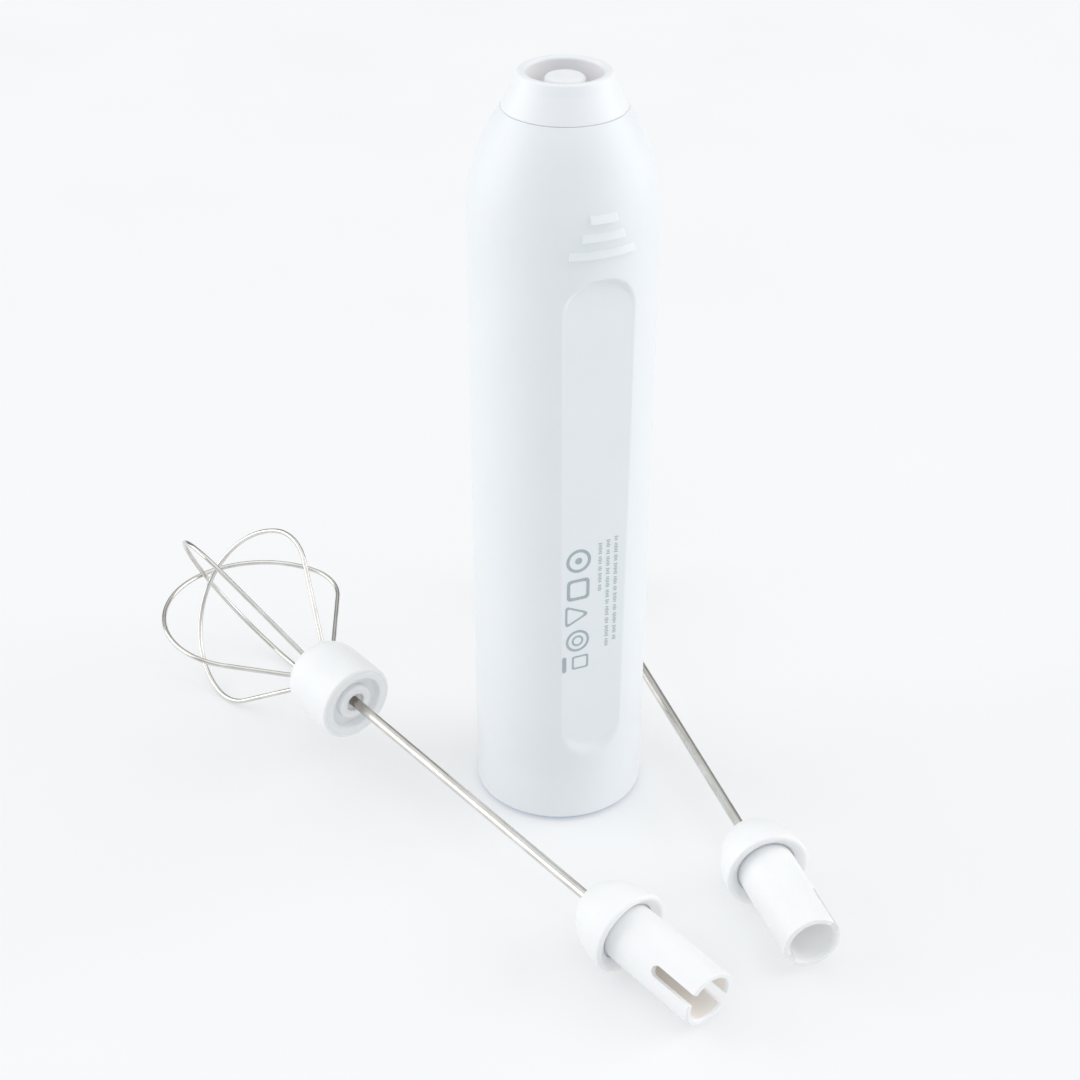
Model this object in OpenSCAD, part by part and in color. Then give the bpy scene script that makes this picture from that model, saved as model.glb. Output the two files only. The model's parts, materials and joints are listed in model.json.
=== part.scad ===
// Cordless milk frother: an upright handle with its motor, cell and board inside,
// and two loose whisks lying beside it, one balloon whisk and one spring-ring whisk.
// Millimetres. +Z is up, the handle's foot is centred on the origin,
// its plain back faces -Y and its button faces +Y.

/* [Handle] */
// Height from the foot to the nozzle rim
handle_h = 149.8; // [148:0.1:151]
// Radius of the grip at the shoulder
grip_r = 17.2; // [17:0.1:17.6]
// Radius of the grip just above the foot
foot_edge_r = 16.7; // [16.4:0.1:16.9]
// Wall thickness of the casing
wall = 2.2; // [2:0.1:2.4]
// Radius of the long curve of the shoulder
shoulder_arc = 35; // [34:0.5:36]

/* [Flats and ribs] */
// Half width of the long flats on the back and the front
flat_half = 7; // [6.5:0.1:7.4]
// Distance from the axis to the flats
flat_y = 15.6; // [15.5:0.05:15.8]
// Height of the lower end of the flats
flat_low = 17.2; // [16:0.2:18]
// Height of the upper end of the flats
flat_high = 117.6; // [116:0.2:118]
// Height of the lowest grip rib
rib_z = 122.9; // [122:0.1:123]
// Step from one grip rib to the next
rib_step = 3.1; // [3:0.1:3.4]
// Angles that the three ribs cover, from the lowest up
rib_sweep = [41, 26, 17]; // [12:1:44]
// How far the ribs stand out
rib_out = 0.7; // [0.4:0.05:0.7]

/* [Nozzle and drive] */
// Height of the nozzle above its seam
nozzle_h = 6.3; // [6:0.1:6.5]
// Outer radius of the nozzle rim
rim_r = 8.4; // [8.2:0.1:8.6]
// Radius of the cup in the nozzle
cup_r = 6.75; // [6.7:0.05:6.8]
// Depth of the cup below the rim
cup_depth = 14.8; // [14.5:0.1:15]
// Radius of the drive post's guide
post_r = 4.25; // [4.2:0.01:4.28]
// Radius of the drive post's tip
tip_r = 3.6; // [3.5:0.05:3.7]
// How far the post's tip lies below the rim
tip_drop = 0.95; // [0.9:0.05:1.4]
// Radius of the motor shaft
shaft_r = 1; // [1:0.01:1.01]

/* [Controls] */
// Height of the button's centre
button_z = 98; // [97:0.5:99]
// Radius of the button
button_r = 5.3; // [5:0.1:5.4]
// Travel of the button
button_travel = 0.5; // [0.4:0.05:0.5]
// Height of the row of status lights
light_z = 80; // [79:0.5:81]
// Height of the charging port's centre
port_z = 27; // [26:0.5:28]

/* [Whisk couplings] */
// Outer radius of the slotted sleeve
sleeve_r = 5.6; // [5.5:0.05:5.7]
// Radius of the sleeve's bore
bore_r = 4.35; // [4.33:0.01:4.4]
// Depth of the sleeve's bore
bore_depth = 18; // [17:0.5:18]
// Length of the sleeve, from its mouth to the skirt
sleeve_len = 20.1; // [19.8:0.1:20.5]
// Width of the two slots in the sleeve
slot_w = 2.2; // [2:0.1:2.4]
// Length of the slots
slot_len = 10; // [9:0.5:11]
// Radius of the skirted cap and of the hub
cap_r = 8.25; // [8.1:0.05:8.3]
// Length of the cap's dome
dome_len = 12.2; // [12:0.1:12.5]
// Radius of the whisk rods
rod_r = 1; // [0.95:0.05:1.05]

/* [Balloon whisk] */
// Distance from the sleeve's mouth to the back of the hub
hub_at = 103.3; // [102:0.1:105]
// Length of the hub
hub_len = 15; // [14.8:0.1:15.2]
// Radius of the balloon's wires
wire_r = 0.5; // [0.45:0.05:0.55]
// Angle between a wire leg and the rod
leg_angle = 39.3; // [38:0.1:41]
// Radius of the bend at a loop's shoulder
bend_r = 11; // [10.5:0.1:11.5]
// Half width of a loop at its widest
loop_half = 19.2; // [18.8:0.1:19.6]
// Distance from the back of the hub to each loop's crown
crown_at = [55.8, 57.1, 54.1]; // [53:0.1:58]
// How far each loop is bent over to one side
loop_lean = [3.4, 1.9, 0.5]; // [0:0.1:4]
// Angle of each loop round the rod
loop_turn = [151.5, 269.2, 210.5]; // [0:0.5:360]
// Angle of the slots round the rod
balloon_slot_turn = 120; // [0:5:180]

/* [Spring whisk] */
// Distance from the sleeve's mouth to the plane of the ring
ring_at = 136; // [134:1:138]
// Radius of the ring's wire circle
ring_r = 9.8; // [9.6:0.1:10]
// Radius of the ring's wire
ring_wire_r = 0.8; // [0.7:0.05:0.85]
// Radius of the spring's own wire
coil_wire_r = 0.35; // [0.3:0.05:0.35]
// Radius of the spring, to the middle of its wire
coil_r = 1.6; // [1.55:0.05:1.7]
// Number of turns of the spring
coil_turns = 40; // [36:1:42]
// Angle of the slots round the rod
froth_slot_turn = 55; // [0:5:180]

/* [Where the whisks lie] */
// Balloon whisk: place of its sleeve's mouth on the table
balloon_xy = [-4.92, -78.47]; // [-100:0.01:100]
// Balloon whisk: compass heading of its rod, anticlockwise from +X
balloon_heading = 108; // [100:0.5:112]
// Balloon whisk: how far its balloon end is raised
balloon_tilt = 4.05; // [4.05:0.05:4.2]
// Spring whisk: place of its sleeve's mouth on the table
froth_xy = [18.42, -73.57]; // [-100:0.01:100]
// Spring whisk: compass heading of its rod, anticlockwise from +X
froth_heading = 85.5; // [82:0.5:88]

/* [Hidden] */
$fn = 96;
eps = 0.01;

// handle heights
rim_z = handle_h;
seam_z = rim_z - nozzle_h;
shoulder_z = seam_z - 19.5;
cup_z = rim_z - cup_depth;
tip_z = rim_z - tip_drop;
spigot_z = cup_z - 2;
case_z = 0.4;
foot_fillet = 0.9;

// casing bore and its flats
case_ir = 15;
inner_flat_y = 14;
inner_flat_low = 12;
inner_flat_high = 121;
ledge_z = 138;
spigot_r = 9.75;
spigot_gap = 0.05;
seam_r = shoulder_r(seam_z);

// chassis and board
plate_t = 3;
plate_r = 14.6;
plate_y = 13.8;
rail_x = 12.4;
rail_t = 1.6;
rail_w = 6;
board_y = 8.2;
board_t = 1.2;
board_half = 9.5;
board_low = 20;
board_high = 104;
board_front = board_y + board_t;
cell_r = 7;
cell_y = -5.2;
cell_low = 37;
cell_len = 50;
pad_t = 2;
lower_plate = cell_low - pad_t - plate_t;
upper_plate = cell_low + cell_len + 1.6;
bottom_plate = 8;
front_plate = 130.4;
front_plate_t = 2;
front_plate_r = 13.4;

// motor
motor_r = 10.2;
motor_flat = 7.7;
motor_low = 102;
motor_high = 128.5;
can_t = 0.9;
boss_r = 3.1;
boss_h = 1.8;
bush_gap = 0.03;
shaft_low = 100.9;
shaft_high = 145;
core_low = 112;
core_len = 11;
core_r = 5.7;
magnet_in = 6.2;
winding_in = 2.4;
winding_out = 4.2;
winding_half = 1.9;
commutator_low = 105;
commutator_len = 3.4;
commutator_r = 2.3;
motor_screw_x = 6.3;

// button and switch
button_out = 0.7;
button_hole_r = button_r + 0.3;
flange_r = 6.5;
flange_t = 0.7;
flange_back = inner_flat_y - 0.25 - flange_t;
plunger_r = 1.6;
switch_half = 3;
switch_top = flange_back - button_travel - 0.25;

// charging port and lights
port_w = 9;
port_h = 3.3;
port_wall = 0.3;
port_front = 15.1;
light_x = [-3.5, 0, 3.5];
light_r = 0.8;

// whisks
dome_end_r = 2;
skirt_t = 0.8;
groove_depth = 1.2;
hub_recess_r = 5.8;
hub_recess = 1.8;
plug_r = 3.8;
plug_len = 12;
plug_sink = 0.4;
leg_r = 4.7;
leg_start = 7;
froth_tilt = asin((ring_r + coil_r + coil_wire_r - cap_r) / (ring_at - sleeve_len));
ferrule_len = 5;

// ---------- shared shapes ----------

// points of an arc, from angle a0 to angle a1
function arc(x, y, r, a0, a1, n) =
    [for (i = [0:n]) let (a = a0 + (a1 - a0) * i / n) [x + r * cos(a), y + r * sin(a)]];

module ring(r_in, r_out, h) {
    difference() {
        cylinder(r = r_out, h = h);
        translate([0, 0, -1]) cylinder(r = r_in, h = h + 2);
    }
}

module o_ring(r, section, z) {
    translate([0, 0, z]) rotate_extrude() translate([r, 0]) circle(r = section, $fn = 32);
}

// a block centred on X and Y, standing on z
module block(size, at) {
    translate([at[0] - size[0] / 2, at[1] - size[1] / 2, at[2]]) cube(size);
}

// a peg along +Y
module peg(r, y0, y1, x, z) {
    translate([x, y0, z]) rotate([-90, 0, 0]) cylinder(r = r, h = y1 - y0);
}

// an upright slot shape with round ends, cut along Y from y0 to y1
module stadium_bar(half, low, high, y0, y1) {
    translate([0, y0, low + half]) upright_slab(half, high - low - 2 * half, y1 - y0);
    peg(half, y0, y1, 0, low + half);
    peg(half, y0, y1, 0, high - half);
}

module upright_slab(half, height, depth) {
    translate([-half, 0, 0]) cube([2 * half, depth, height]);
}

// a lying slot shape with round ends, cut along Y
module lying_bar(w, h, z, y0, y1) {
    translate([-(w - h) / 2, y0, z - h / 2]) cube([w - h, y1 - y0, h]);
    for (side = [-1, 1]) peg(h / 2, y0, y1, side * (w - h) / 2, z);
}

// a round wire swept along a path. ref holds, for each point, a direction across the path.
module wire(path, ref, r, sides) {
    last = len(path) - 1;
    points = [
        for (i = [0:last])
            let (
                run = path[min(i + 1, last)] - path[max(i - 1, 0)],
                along = run / norm(run),
                flat = cross(ref[i], along),
                side = flat / norm(flat),
                up = cross(along, side)
            )
            for (k = [0:sides - 1])
                path[i] + r * (cos(360 * k / sides) * side + sin(360 * k / sides) * up)
    ];
    walls = [
        for (i = [0:last - 1], k = [0:sides - 1])
            let (
                next = (k + 1) % sides,
                a = i * sides,
                b = a + sides
            )
            for (face = [[a + k, b + k, b + next], [a + k, b + next, a + next]]) face
    ];
    ends = [
        [for (k = [0:sides - 1]) k],
        [for (k = [sides - 1:-1:0]) last * sides + k]
    ];
    polyhedron(points, concat(walls, ends));
}

// the same direction for every point of a path
function all_across(path, direction) = [for (p = path) direction];

// a path whose inner corners are rounded by quadratic curves
function rounded(path, steps) =
    concat(
        [path[0]],
        [for (i = [1:len(path) - 2])
            let (a = (path[i - 1] + path[i]) / 2, b = path[i], c = (path[i] + path[i + 1]) / 2)
            for (k = [0:steps])
                let (t = k / steps)
                (1 - t) * (1 - t) * a + 2 * t * (1 - t) * b + t * t * c],
        [path[len(path) - 1]]
    );

// ---------- handle ----------

module case_solid() {
    edge = foot_edge_r - foot_fillet;
    top_angle = asin((seam_z - shoulder_z) / shoulder_arc);
    rotate_extrude()
        polygon(concat(
            [[0, case_z]],
            arc(edge, case_z + foot_fillet, foot_fillet, -70, 0, 6),
            arc(grip_r - shoulder_arc, shoulder_z, shoulder_arc, 0, top_angle, 20),
            [[0, seam_z]]
        ));
}

module case_cavity() {
    inner_arc = shoulder_arc - wall;
    top_angle = asin((ledge_z - shoulder_z) / inner_arc);
    difference() {
        rotate_extrude()
            polygon(concat(
                [[0, 0], [case_ir, 0]],
                arc(grip_r - shoulder_arc, shoulder_z, inner_arc, 0, top_angle, 12),
                [[0, ledge_z]]
            ));
        for (side = [-1, 1])
            translate([-20, side < 0 ? -20 : inner_flat_y, inner_flat_low])
                cube([40, 20 - inner_flat_y, inner_flat_high - inner_flat_low]);
    }
    translate([0, 0, ledge_z - 1]) cylinder(r = spigot_r + spigot_gap, h = seam_z - ledge_z + 2);
}

// radius of the casing's outside at a height on its shoulder
function shoulder_r(z) =
    grip_r - shoulder_arc + sqrt(pow(shoulder_arc, 2) - pow(max(0, z - shoulder_z), 2));

module ribs() {
    for (i = [0:2]) {
        z = rib_z + i * rib_step;
        rotate([0, 0, -90 - rib_sweep[i] / 2])
            translate([0, 0, z])
                rotate_extrude(angle = rib_sweep[i])
                    translate([shoulder_r(z) - 1, -0.8]) square([1 + rib_out, 1.6]);
    }
}

module casing() color("white") {
    difference() {
        case_solid();
        case_cavity();
        stadium_bar(flat_half, flat_low, flat_high, flat_y, 20);
        stadium_bar(flat_half, flat_low, flat_high, -20, -flat_y);
        peg(button_hole_r, inner_flat_y - 1, 20, 0, button_z);
        peg(flange_r + 0.4, inner_flat_y - 3, inner_flat_y, 0, button_z);
        for (x = light_x) peg(light_r + 0.1, inner_flat_y - 1, 20, x, light_z);
        lying_bar(port_w + 1, port_h + 1, port_z, inner_flat_y - 1, 20);
    }
    ribs();
}

module nozzle_collar() color("whitesmoke") {
    lip = 0.7;
    difference() {
        rotate_extrude()
            polygon(concat(
                [[0, spigot_z], [spigot_r, spigot_z], [spigot_r, seam_z + 0.1]],
                [[seam_r - 0.1, seam_z + 0.1]],
                arc(rim_r - lip, rim_z - lip, lip, 25, 90, 5),
                [[0, rim_z]]
            ));
        translate([0, 0, cup_z]) cylinder(r = cup_r, h = cup_depth + 1);
        translate([0, 0, rim_z - 0.35]) cylinder(r1 = cup_r, r2 = cup_r + 0.4, h = 0.36);
        translate([0, 0, spigot_z - 1]) cylinder(r = 3.2, h = 4);
        translate([0, 0, 140.4]) ring(8.7, spigot_r + 1, 1.2);
    }
}

module nozzle_seal() color("dimgray") o_ring(9.25, 0.5, 141);

module base_cap() color("whitesmoke") {
    spigot = case_ir - 0.1;
    difference() {
        rotate_extrude()
            polygon(concat(
                [[0, 0]],
                arc(spigot - 0.5, 0.5, 0.5, -90, 0, 5),
                [[spigot, 5], [0, 5]]
            ));
        translate([0, 0, 2]) cylinder(r = spigot - 2.4, h = 4);
        translate([0, 0, 2.5]) ring(13.9, spigot + 1, 1);
    }
}

module base_seal() color("dimgray") o_ring(14.4, 0.45, 3);

module chassis_plate(z) {
    intersection() {
        translate([0, 0, z]) cylinder(r = plate_r, h = plate_t);
        translate([-20, -plate_y, z]) cube([40, plate_y + board_y, plate_t]);
    }
}

module chassis() color("gainsboro") {
    difference() {
        union() {
            for (side = [-1, 1])
                block([rail_t, rail_w, front_plate - bottom_plate + 1], [side * rail_x, 0, bottom_plate]);
            for (z = [bottom_plate, lower_plate, upper_plate]) chassis_plate(z);
            intersection() {
                translate([0, 0, front_plate]) cylinder(r = front_plate_r, h = front_plate_t);
                translate([-20, -plate_y, front_plate]) cube([40, 2 * plate_y, front_plate_t]);
            }
        }
        translate([0, 0, front_plate - 1]) cylinder(r = boss_r + 0.3, h = 5);
        for (side = [-1, 1]) {
            translate([side * motor_screw_x, 0, front_plate - 1]) cylinder(r = 1.1, h = 5);
            translate([side * motor_screw_x, 0, front_plate + 0.8]) cylinder(r = 2, h = 5);
        }
        for (z = [bottom_plate, upper_plate]) translate([0, 0, z - 1]) cylinder(r = 4, h = 6);
        for (z = [lower_plate, upper_plate], side = [-1, 1])
            peg(0.85, board_y - 6, board_y + 1, side * 7.2, z + plate_t / 2);
    }
}

module motor_prism(r, flat, z0, z1) {
    intersection() {
        translate([0, 0, z0]) cylinder(r = r, h = z1 - z0);
        block([4 * r, 2 * flat, z1 - z0], [0, 0, z0]);
    }
}

module motor_can() color("silver") {
    difference() {
        union() {
            motor_prism(motor_r, motor_flat, motor_low, motor_high);
            translate([0, 0, motor_high]) cylinder(r = boss_r, h = boss_h);
        }
        motor_prism(motor_r - can_t, motor_flat - can_t, motor_low - 1, motor_high - can_t);
        translate([0, 0, motor_high - 2]) cylinder(r = 2.6, h = 5);
        for (side = [-1, 1])
            translate([side * motor_screw_x, 0, motor_high - 2]) cylinder(r = 1, h = 4);
    }
}

module motor_end_cap() color("white") {
    difference() {
        union() {
            motor_prism(motor_r - can_t - 0.05, motor_flat - can_t - 0.05, motor_low, motor_low + 2);
            motor_prism(motor_r, motor_flat, motor_low - 1, motor_low);
        }
        translate([0, 0, motor_low - 2]) cylinder(r = 2.6, h = 6);
    }
    for (side = [-1, 1]) block([0.5, 1.8, 1.6], [side * 7, 0, motor_low - 2.6]);
}

module motor_magnets() color("dimgray") {
    r_out = motor_r - can_t - 0.05;
    for (side = [0, 180])
        rotate([0, 0, side - 42])
            translate([0, 0, core_low - 2])
                rotate_extrude(angle = 84)
                    translate([magnet_in, 0]) square([r_out - magnet_in, core_len + 4]);
}

module motor_bushings() color("darkgoldenrod") {
    bore = shaft_r + bush_gap;
    translate([0, 0, motor_high - 0.8]) ring(bore, 2.6, boss_h + 0.8);
    translate([0, 0, motor_low - 0.9]) ring(bore, 2.6, 2.6);
}

module motor_brushes() color("peru") {
    for (side = [-1, 1]) {
        block([1.2, 1.6, 2], [side * (commutator_r + 0.7), 0, commutator_low + 0.6]);
        block([0.3, 1.6, 3.6], [side * (commutator_r + 1.45), 0, motor_low + 2]);
    }
}

module motor_damper() color("dimgray") {
    difference() {
        motor_prism(9.6, 7.4, motor_high, front_plate);
        translate([0, 0, motor_high - 1]) cylinder(r = boss_r + 0.05, h = 5);
        for (side = [-1, 1])
            translate([side * motor_screw_x, 0, motor_high - 1]) cylinder(r = 1.1, h = 5);
    }
}

module motor_screws() color("silver") {
    for (side = [-1, 1]) translate([side * motor_screw_x, 0, 0]) {
        translate([0, 0, motor_high - 1.6]) cylinder(r = 0.95, h = front_plate + 0.8 - motor_high + 1.6);
        difference() {
            translate([0, 0, front_plate + 0.8]) cylinder(r = 1.9, h = 1);
            block([2.4, 0.4, 1], [0, 0, front_plate + 1.4]);
            block([0.4, 2.4, 1], [0, 0, front_plate + 1.4]);
        }
    }
}

module shaft_seal() color("dimgray") {
    difference() {
        translate([0, 0, spigot_z]) cylinder(r = 3.18, h = 2);
        translate([0, 0, spigot_z - 1]) cylinder(r = shaft_r + 0.05, h = 5);
        translate([0, 0, spigot_z - eps]) cylinder(r1 = 2.4, r2 = 1.2, h = 1.2);
    }
}

module battery_cell() color("steelblue") {
    translate([0, cell_y, cell_low]) {
        rotate_extrude()
            polygon(concat(
                [[0, 0]],
                arc(cell_r - 0.5, 0.5, 0.5, -90, 0, 4),
                arc(cell_r - 0.5, cell_len - 0.5, 0.5, 0, 90, 4),
                [[2.8, cell_len], [2.8, cell_len + 0.9], [0, cell_len + 0.9]]
            ));
    }
}

module battery_pad() color("dimgray")
    translate([0, cell_y, cell_low - pad_t]) cylinder(r = 5.8, h = pad_t);

module circuit_board() color("green") {
    difference() {
        translate([-board_half, board_y, board_low])
            cube([2 * board_half, board_t, board_high - board_low]);
        for (z = [lower_plate, upper_plate], side = [-1, 1])
            peg(0.9, board_y - 1, board_front + 1, side * 7.2, z + plate_t / 2);
    }
}

module board_parts() color("black") {
    // charger chip, driver chip, coil, and rows of small capacitors
    block([5, 1.6, 4], [-4, board_front + 0.8, 44]);
    block([4, 1.2, 5], [4, board_front + 0.6, 56]);
    block([5, 2.6, 5], [-3.5, board_front + 1.3, 62]);
    for (i = [0:4]) block([1.2, 0.8, 2], [-5 + 2.5 * i, board_front + 0.4, 51]);
    for (i = [0:3]) block([2, 0.8, 1.2], [-7, board_front + 0.4, 69 + 2 * i]);
}

module board_screws() color("silver") {
    for (z = [lower_plate, upper_plate], side = [-1, 1])
        translate([side * 7.2, 0, z + plate_t / 2]) rotate([-90, 0, 0]) {
            translate([0, 0, board_front - 5]) cylinder(r = 0.8, h = 5);
            difference() {
                translate([0, 0, board_front]) cylinder(r = 1.7, h = 1.1);
                block([2.2, 0.4, 1], [0, 0, board_front + 0.7]);
                block([0.4, 2.2, 1], [0, 0, board_front + 0.7]);
            }
        }
}

module power_switch() color("silver") {
    difference() {
        translate([-switch_half, board_front, button_z - switch_half])
            cube([2 * switch_half, switch_top - board_front, 2 * switch_half]);
        peg(plunger_r + 0.12, board_front + 0.7, 20, 0, button_z);
    }
}

module usb_socket() color("silver") {
    difference() {
        lying_bar(port_w, port_h, port_z, board_front, port_front);
        lying_bar(port_w - 2 * port_wall, port_h - 2 * port_wall, port_z, board_front + 1, 20);
    }
    lying_bar(port_w - 2.4, 0.7, port_z, board_front + 0.5, port_front - 1);
}

module status_leds() color("gold") {
    for (x = light_x) block([1.8, 0.8, 1.2], [x, board_front + 0.4, light_z - 0.6]);
}

module light_guide() color("lightcyan") {
    back = board_front + 1.1;
    for (x = light_x) peg(light_r, back, flat_y, x, light_z);
    translate([-5.5, 12.2, light_z - 1.6]) cube([11, 1.4, 3.2]);
}

module motor_leads() color("firebrick") {
    for (side = [-1, 1]) {
        path = rounded([[side * 7, 0, 99.3], [side * 7.2, 0.5, 95], [side * 7.2, board_y, 95]], 6);
        wire(path, all_across(path, [1, 0, 0]), 0.6, 8);
    }
}

module battery_leads() color("firebrick") {
    plus = rounded([[4.4, -4.8, 87.7], [11, 1.5, 87.7], [8.6, 4, 83], [8.6, board_y, 83]], 5);
    minus = rounded([[-5.4, 0.6, 43], [-8, 3.4, 44], [-8, board_y, 44]], 5);
    wire(plus, all_across(plus, [1, 1, 3]), 0.6, 8);
    wire(minus, all_across(minus, [0, 0, 1]), 0.6, 8);
}

// ---------- button ----------

module power_button() color("gainsboro") {
    front = flat_y + button_out;
    edge = 0.5;
    translate([0, 0, button_z]) rotate([-90, 0, 0])
        rotate_extrude()
            polygon(concat(
                [[0, flange_back], [flange_r, flange_back], [flange_r, flange_back + flange_t]],
                [[button_r, flange_back + flange_t]],
                arc(button_r - edge, front - edge, edge, 0, 90, 5),
                [[button_r - 1.4, front], [0, front - 0.35]]
            ));
}

module switch_plunger() color("black")
    peg(plunger_r, switch_top - 1.1, flange_back, 0, button_z);

// ---------- spindle ----------

module motor_shaft() color("silver")
    translate([0, 0, shaft_low]) cylinder(r = shaft_r, h = shaft_high - shaft_low);

module rotor_core() color("slategray") {
    difference() {
        union() {
            translate([0, 0, core_low]) cylinder(r = 2.2, h = core_len);
            for (turn = [0, 120, 240]) rotate([0, 0, turn]) {
                translate([0, -0.9, core_low]) cube([core_r - 0.6, 1.8, core_len]);
                rotate([0, 0, -46]) translate([0, 0, core_low])
                    rotate_extrude(angle = 92) translate([core_r - 1, 0]) square([1, core_len]);
            }
        }
        translate([0, 0, core_low - 1]) cylinder(r = shaft_r + 0.01, h = core_len + 2);
    }
}

module rotor_windings() color("chocolate") {
    for (turn = [0, 120, 240]) rotate([0, 0, turn])
        difference() {
            translate([winding_in, -winding_half, core_low - 1.2])
                cube([winding_out - winding_in, 2 * winding_half, core_len + 2.4]);
            translate([winding_in - 1, -0.95, core_low - 0.05])
                cube([winding_out, 1.9, core_len + 0.1]);
        }
}

module commutator() color("peru") {
    difference() {
        translate([0, 0, commutator_low]) cylinder(r = commutator_r, h = commutator_len);
        translate([0, 0, commutator_low - 1]) cylinder(r = shaft_r + 0.01, h = commutator_len + 2);
        for (turn = [60, 180, 300])
            rotate([0, 0, turn]) translate([1.8, -0.15, commutator_low - 1])
                cube([2, 0.3, commutator_len + 2]);
    }
}

module drive_post() color("white") {
    low = cup_z + 0.6;
    guide_top = rim_z - 4.2;
    guide_low = guide_top - 4.6;
    neck_r = post_r - 0.3;
    edge = 0.8;
    difference() {
        union() {
            rotate_extrude()
                polygon(concat(
                    [[0, low], [neck_r, low], [neck_r, guide_low - 0.3]],
                    [[post_r, guide_low], [post_r, guide_top], [tip_r, guide_top + 0.8]],
                    arc(tip_r - edge, tip_z - edge, edge, 0, 90, 6),
                    [[0, tip_z]]
                ));
            for (side = [0, 180]) rotate([0, 0, side])
                translate([neck_r - 0.5, -0.95, low]) cube([post_r + 1.7 - neck_r, 1.9, 5]);
        }
        translate([0, 0, low - 1]) cylinder(r = shaft_r + 0.01, h = shaft_high - low + 1.02);
    }
}

// ---------- whisk parts, along +Z from the sleeve's mouth ----------

module coupling(slot_turn) {
    rim = sleeve_len;
    difference() {
        union() {
            cylinder(r = sleeve_r, h = rim + 3);
            // domed cap, an ellipse in section
            translate([0, 0, rim])
                rotate_extrude()
                    polygon(concat(
                        [[0, 0]],
                        [for (i = [0:16]) let (a = i / 16 * acos(dome_end_r / cap_r))
                            [cap_r * cos(a), dome_len * sin(a)]],
                        [[0, dome_len * sin(acos(dome_end_r / cap_r))]]
                    ));
        }
        // the cap's face slopes in to the sleeve
        translate([0, 0, rim])
            rotate_extrude()
                polygon([
                    [sleeve_r, groove_depth], [sleeve_r, -1], [cap_r - skirt_t, -1], [cap_r - skirt_t, 0]
                ]);
        translate([0, 0, -1]) cylinder(r = bore_r, h = bore_depth + 1);
        translate([0, 0, -eps]) cylinder(r1 = bore_r + 0.35, r2 = bore_r, h = 0.35);
        rotate([0, 0, slot_turn]) {
            translate([-10, -slot_w / 2, -1]) cube([20, slot_w, slot_len - slot_w / 2 + 1]);
            translate([0, 0, slot_len - slot_w / 2]) rotate([0, 90, 0])
                translate([0, 0, -10]) cylinder(r = slot_w / 2, h = 20);
        }
        translate([0, 0, rim]) cylinder(r = rod_r + 0.01, h = 20);
    }
}

module rod(from_z, to_z)
    translate([0, 0, from_z]) cylinder(r = rod_r, h = to_z - from_z);

module hub() {
    nose = 5.5;
    nose_r = 3;
    difference() {
        translate([0, 0, hub_at])
            rotate_extrude()
                polygon(concat(
                    [[0, 0]],
                    arc(cap_r - 0.6, 0.6, 0.6, -90, 0, 4),
                    [for (i = [1:12]) let (a = i / 12 * 90)
                        [cap_r - nose_r + nose_r * cos(a), hub_len - nose + nose * sin(a)]],
                    [[0, hub_len]]
                ));
        translate([0, 0, hub_at - 1]) cylinder(r = hub_recess_r, h = hub_recess + 1);
        translate([0, 0, hub_at]) cylinder(r = plug_r, h = plug_len);
        for (i = [0:2], side = [0, 180]) rotate([0, 0, loop_turn[i] + side])
            translate([leg_r, 0, hub_at + leg_start - 0.1]) cylinder(r = wire_r + 0.02, h = hub_len);
    }
}

module hub_plug() {
    difference() {
        translate([0, 0, hub_at + plug_sink]) cylinder(r = plug_r - 0.02, h = plug_len - plug_sink);
        translate([0, 0, hub_at - 1]) cylinder(r = rod_r + 0.01, h = plug_len);
        translate([0, 0, hub_at - 1]) cylinder(r = 2, h = plug_sink + 1.8);
    }
}

// half of a loop in its own plane, from the hub out to the crown: [distance from axis, height]
function half_loop(half, crown) =
    let (
        leg_z = hub_len + 0.2,
        side_x = half - bend_r,
        side_z = leg_z + ((side_x - leg_r) * cos(leg_angle) + bend_r) / sin(leg_angle),
        rise = crown - side_z,
        crown_r = (rise * rise + side_x * side_x - bend_r * bend_r) / (2 * (rise - bend_r)),
        crown_z = crown - crown_r,
        top_angle = atan2(side_z - crown_z, side_x)
    )
    concat(
        [[leg_r, leg_start], [leg_r, hub_len + 0.05], [leg_r + 0.2, leg_z + 0.25]],
        arc(side_x, side_z, bend_r, -leg_angle, top_angle, 14),
        arc(0, crown_z, crown_r, top_angle + 4, 90, 8)
    );

// the whole centre line of a loop, leaning to its +X side
function loop_path(i) =
    let (
        near = half_loop(loop_half + loop_lean[i], crown_at[i]),
        far = half_loop(loop_half - loop_lean[i], crown_at[i]),
        last = len(far) - 1
    )
    concat(
        [for (p = near) [p[0], 0, hub_at + p[1]]],
        [for (k = [1:last]) [-far[last - k][0], 0, hub_at + far[last - k][1]]]
    );

module balloon_loop(i) {
    path = loop_path(i);
    rotate([0, 0, loop_turn[i]]) wire(path, all_across(path, [0, 1, 0]), wire_r, 12);
}

module lay_balloon() {
    rim_height = cap_r * cos(balloon_tilt);
    translate([balloon_xy[0], balloon_xy[1], rim_height - sleeve_len * sin(balloon_tilt)])
        rotate([0, 90 - balloon_tilt, balloon_heading])
            children();
}

module lay_froth() {
    rim_height = cap_r * cos(froth_tilt);
    translate([froth_xy[0], froth_xy[1], rim_height - sleeve_len * sin(froth_tilt)])
        rotate([0, 90 - froth_tilt, froth_heading])
            children();
}

module balloon_coupling() color("white") lay_balloon() coupling(balloon_slot_turn);
module balloon_rod() color("silver") lay_balloon() rod(sleeve_len + 0.5, hub_at + plug_len - 1.5);
module balloon_hub() color("white") lay_balloon() hub();
module balloon_hub_plug() color("whitesmoke") lay_balloon() hub_plug();
module balloon_loop_1() color("silver") lay_balloon() balloon_loop(0);
module balloon_loop_2() color("silver") lay_balloon() balloon_loop(1);
module balloon_loop_3() color("silver") lay_balloon() balloon_loop(2);

// ---------- spring whisk ----------

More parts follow.
